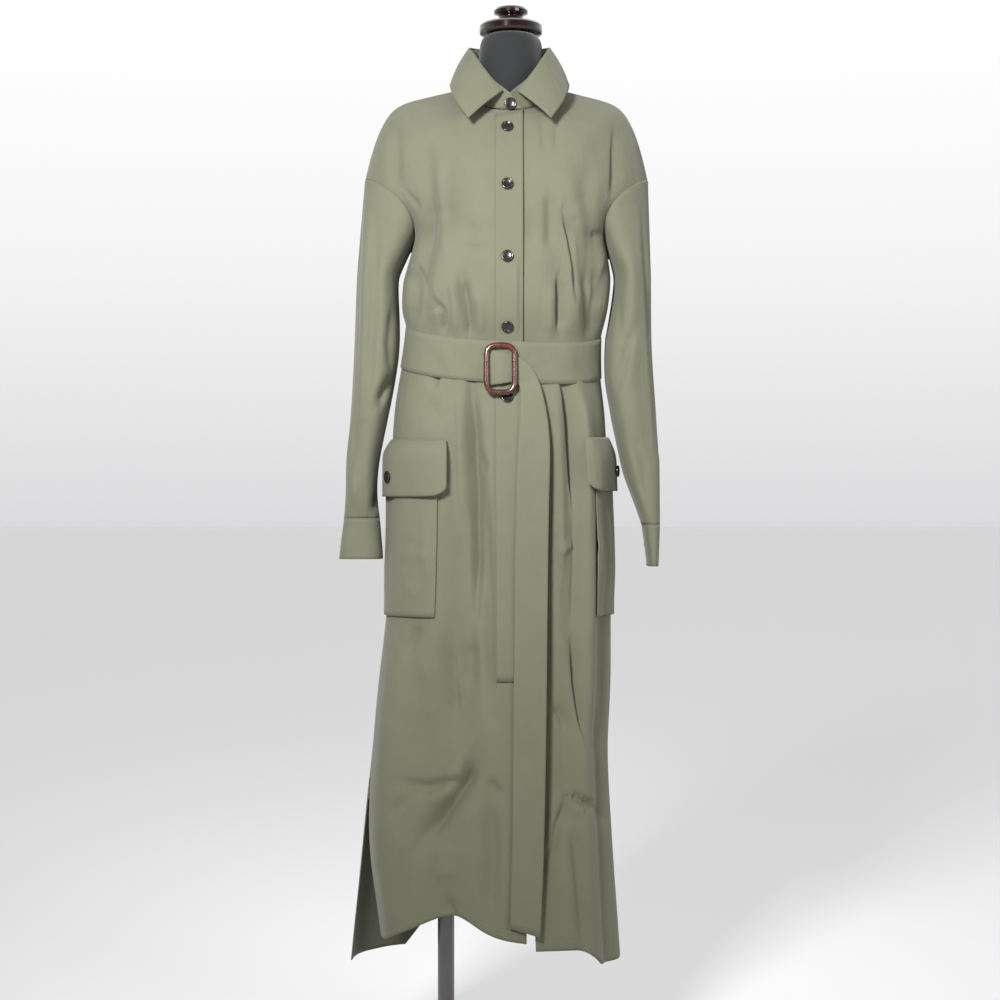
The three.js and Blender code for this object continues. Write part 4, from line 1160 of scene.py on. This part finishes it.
@dataclass(frozen=True)
class HemRow:
    """A row of topstitching that keeps one distance from a piece's lower or upper edge.

    Attributes:
        piece: the cloth piece's name.
        start: where it starts, across.
        end: where it ends, across.
        rise: its distance above the lower edge, or below the upper one where it is minus.
        side: the side that it is sewn from.
    """

    piece: str
    start: float
    end: float
    rise: float
    side: Side = Side.FRONT

    def seam(self, obj: bpy.types.Object) -> Seam:
        """Lays the row along the edge.

        Args:
            obj: the piece.

        Returns:
            The row's own seam.
        """
        points = coordinates(obj.data)
        near = points[points[:, 1] * self.side.value > 0]
        places = []
        for x in np.linspace(self.start, self.end, 25):
            column = near[np.abs(near[:, 0] - x) < 6.0, 2]
            if len(column):
                edge = column.min() if self.rise > 0 else column.max()
                places.append((float(x), float(edge + self.rise)))
        return Seam(self.piece, straight(*places), (0.0, -float(self.side.value), 0.0))


HEM_ROWS = (
    HemRow("front_right", -178, -4, 14),
    HemRow("front_left", 30, 150, 14),
    HemRow("back", -200, 150, 14, Side.BACK),
    HemRow("cuff_right", -240, -186, 5),
    HemRow("cuff_right", -236, -186, -5),
    HemRow("cuff_left", 200, 214, 5),
    HemRow("sleeve_right", -206, -136, -6),
)


class Dress:
    """The whole dress: its cloth, with the sewing on it, and its buttons."""

    def __init__(self) -> None:
        """Readies an empty list of pieces."""
        self.cloth: dict[str, bpy.types.Object] = {}

    def build(self) -> None:
        """Makes every piece in the order that it is put together."""
        for piece in CLOTH_PIECES:
            self.cloth[piece.name] = piece.build(COTTON)
        sewn: dict[str, Sewing] = {}
        hems = [row.seam(self.cloth[row.piece]) for row in HEM_ROWS]
        for seam in seams() + hems:
            if seam.piece not in sewn:
                sewn[seam.piece] = Sewing(self.cloth[seam.piece], seam.piece + "_stitches")
            sewn[seam.piece].run(seam)
        done = {name: sewing.finish() for name, sewing in sewn.items()}
        for piece in CLOTH_PIECES:
            stitches = [done[piece.name]] if done.get(piece.name) else []
            piece.declare(self.cloth[piece.name], ["form_body"], stitches)
        for name in sorted(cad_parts):
            if name.startswith("button_"):
                Button(name).build()


def swell(obj: bpy.types.Object, by: float) -> None:
    """Moves each point out along its surface's own direction.

    Args:
        obj: the piece.
        by: how far, in millimetres.
    """
    for vertex in obj.data.vertices:
        vertex.co += vertex.normal * (by * MM)
    obj.data.update()


def build_hard_pieces() -> None:
    """Makes the buckle, the form and its stand."""
    for name, (finish, slot, levels) in HARD_PIECES.items():
        made = merged_copy(name, finish)
        refine(made, levels)
        if name == "belt_buckle":
            swell(made, BUCKLE_SWELL)
    for name, (finish, slot) in EDGED_PIECES.items():
        made = merged_copy(name, finish)
        made.data.set_sharp_from_angle(angle=math.radians(30))


@dataclass(frozen=True)
class Lamp:
    """A soft square lamp.

    Attributes:
        name: its name.
        place: where it hangs, in metres.
        aim: what it points at, in metres.
        size: its width in metres.
        power: in watts.
        spread: angle of its beam, in degrees.
    """

    name: str
    place: tuple[float, float, float]
    aim: tuple[float, float, float]
    size: float
    power: float
    spread: float = 180.0

    def build(self) -> None:
        """Hangs the lamp."""
        light = bpy.data.lights.new(self.name, "AREA")
        light.size = self.size
        light.energy = self.power
        light.spread = math.radians(self.spread)
        lamp = bpy.data.objects.new(self.name, light)
        bpy.context.scene.collection.objects.link(lamp)
        lamp.location = self.place
        lamp.rotation_euler = (Vector(self.aim) - Vector(self.place)).to_track_quat("-Z", "Y").to_euler()


LAMPS = (
    Lamp("key", (-0.7, -2.2, 1.9), (0.0, 0.0, 1.1), 0.45, 11.5, 60.0),
    Lamp("fill", (1.7, -2.0, 1.6), (0.0, 0.0, 1.1), 1.2, 4.5, 80.0),
)


FLOOR_REACH = 60.0  # from the dress to the floor's edge, in metres, so far off that the edge is faint
FLOOR_HEIGHT = -0.0005  # just under the base, in metres
FRONT_LIGHT = 0.14  # share of the soft light that comes from before the dress
WORLD_STRENGTH = 1.32


def build_studio() -> None:
    """Lays the floor, hangs the lamps and sets the world's soft light."""
    mesh = bpy.data.meshes.new("floor")
    bm = bmesh.new()
    for x, y in ((-1, -1), (1, -1), (1, 1), (-1, 1)):
        bm.verts.new((x * FLOOR_REACH, y * FLOOR_REACH, FLOOR_HEIGHT))
    bm.faces.new(bm.verts)
    bm.to_mesh(mesh)
    bm.free()
    mesh.materials.append(FLOOR.material())
    floor = bpy.data.objects.new("floor", mesh)
    bpy.context.scene.collection.objects.link(floor)
    for lamp in LAMPS:
        lamp.build()
    build_world()
    bpy.context.scene.view_settings.view_transform = "Standard"


def build_world() -> None:
    """Sets the soft light round the dress: a bright backdrop, dimmer low down and before the dress."""
    world = bpy.data.worlds.new("studio")
    world.use_nodes = True
    tree = world.node_tree
    direction = node(tree, "TexCoord").outputs["Generated"]
    parts = node(tree, "SeparateXYZ", Vector=direction)
    rise = node(tree, "ValToRGB", Fac=shifted(tree, parts.outputs["Z"], 1.0, 0.5))
    ramp = rise.color_ramp
    ramp.elements[0].position = 0.46
    ramp.elements[0].color = linear("#bcbcbe")
    ramp.elements[1].position = 0.62
    ramp.elements[1].color = linear("#d9d9d9")
    zenith = ramp.elements.new(1.0)
    zenith.color = linear("#fafafa")
    depth = node(tree, "ValToRGB", Fac=shifted(tree, parts.outputs["Y"], 0.5, 0.5))
    depth.color_ramp.elements[0].position = 0.2
    depth.color_ramp.elements[0].color = (FRONT_LIGHT, FRONT_LIGHT, FRONT_LIGHT, 1.0)
    depth.color_ramp.elements[1].position = 0.8
    depth.color_ramp.elements[1].color = (1.0, 1.0, 1.0, 1.0)
    both = node(tree, "Mix", Factor=1.0)
    both.data_type = "RGBA"
    both.blend_type = "MULTIPLY"
    tree.links.new(rise.outputs["Color"], both.inputs[6])
    tree.links.new(depth.outputs["Color"], both.inputs[7])
    tree.links.new(both.outputs[2], tree.nodes["Background"].inputs["Color"])
    tree.nodes["Background"].inputs["Strength"].default_value = WORLD_STRENGTH
    bpy.context.scene.world = world


def build_camera() -> None:
    """Sets the camera level before the dress, at the photograph's distance and height."""
    distance = EYE_DISTANCE * MM
    frame_width = 1.45  # of the picture at the dress's middle plane
    camera = bpy.data.cameras.new("camera")
    camera.lens = camera.sensor_width * distance / frame_width
    holder = bpy.data.objects.new("camera", camera)
    bpy.context.scene.collection.objects.link(holder)
    holder.location = (EYE[0] * MM, -distance, EYE[1] * MM)
    holder.rotation_euler = (math.radians(90), 0, 0)
    bpy.context.scene.camera = holder


def write_sizes() -> None:
    """Brings the scene's placements up to date."""
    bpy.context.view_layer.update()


def main() -> None:
    """Builds the scene in order."""
    logging.basicConfig(level=logging.INFO, format="%(name)s: %(message)s")
    dress = Dress()
    dress.build()
    LOG.info("%d cloth pieces", len(dress.cloth))
    build_hard_pieces()
    LOG.info("form and stand")
    build_studio()
    build_camera()
    write_sizes()


if __name__ == "__main__":
    main()
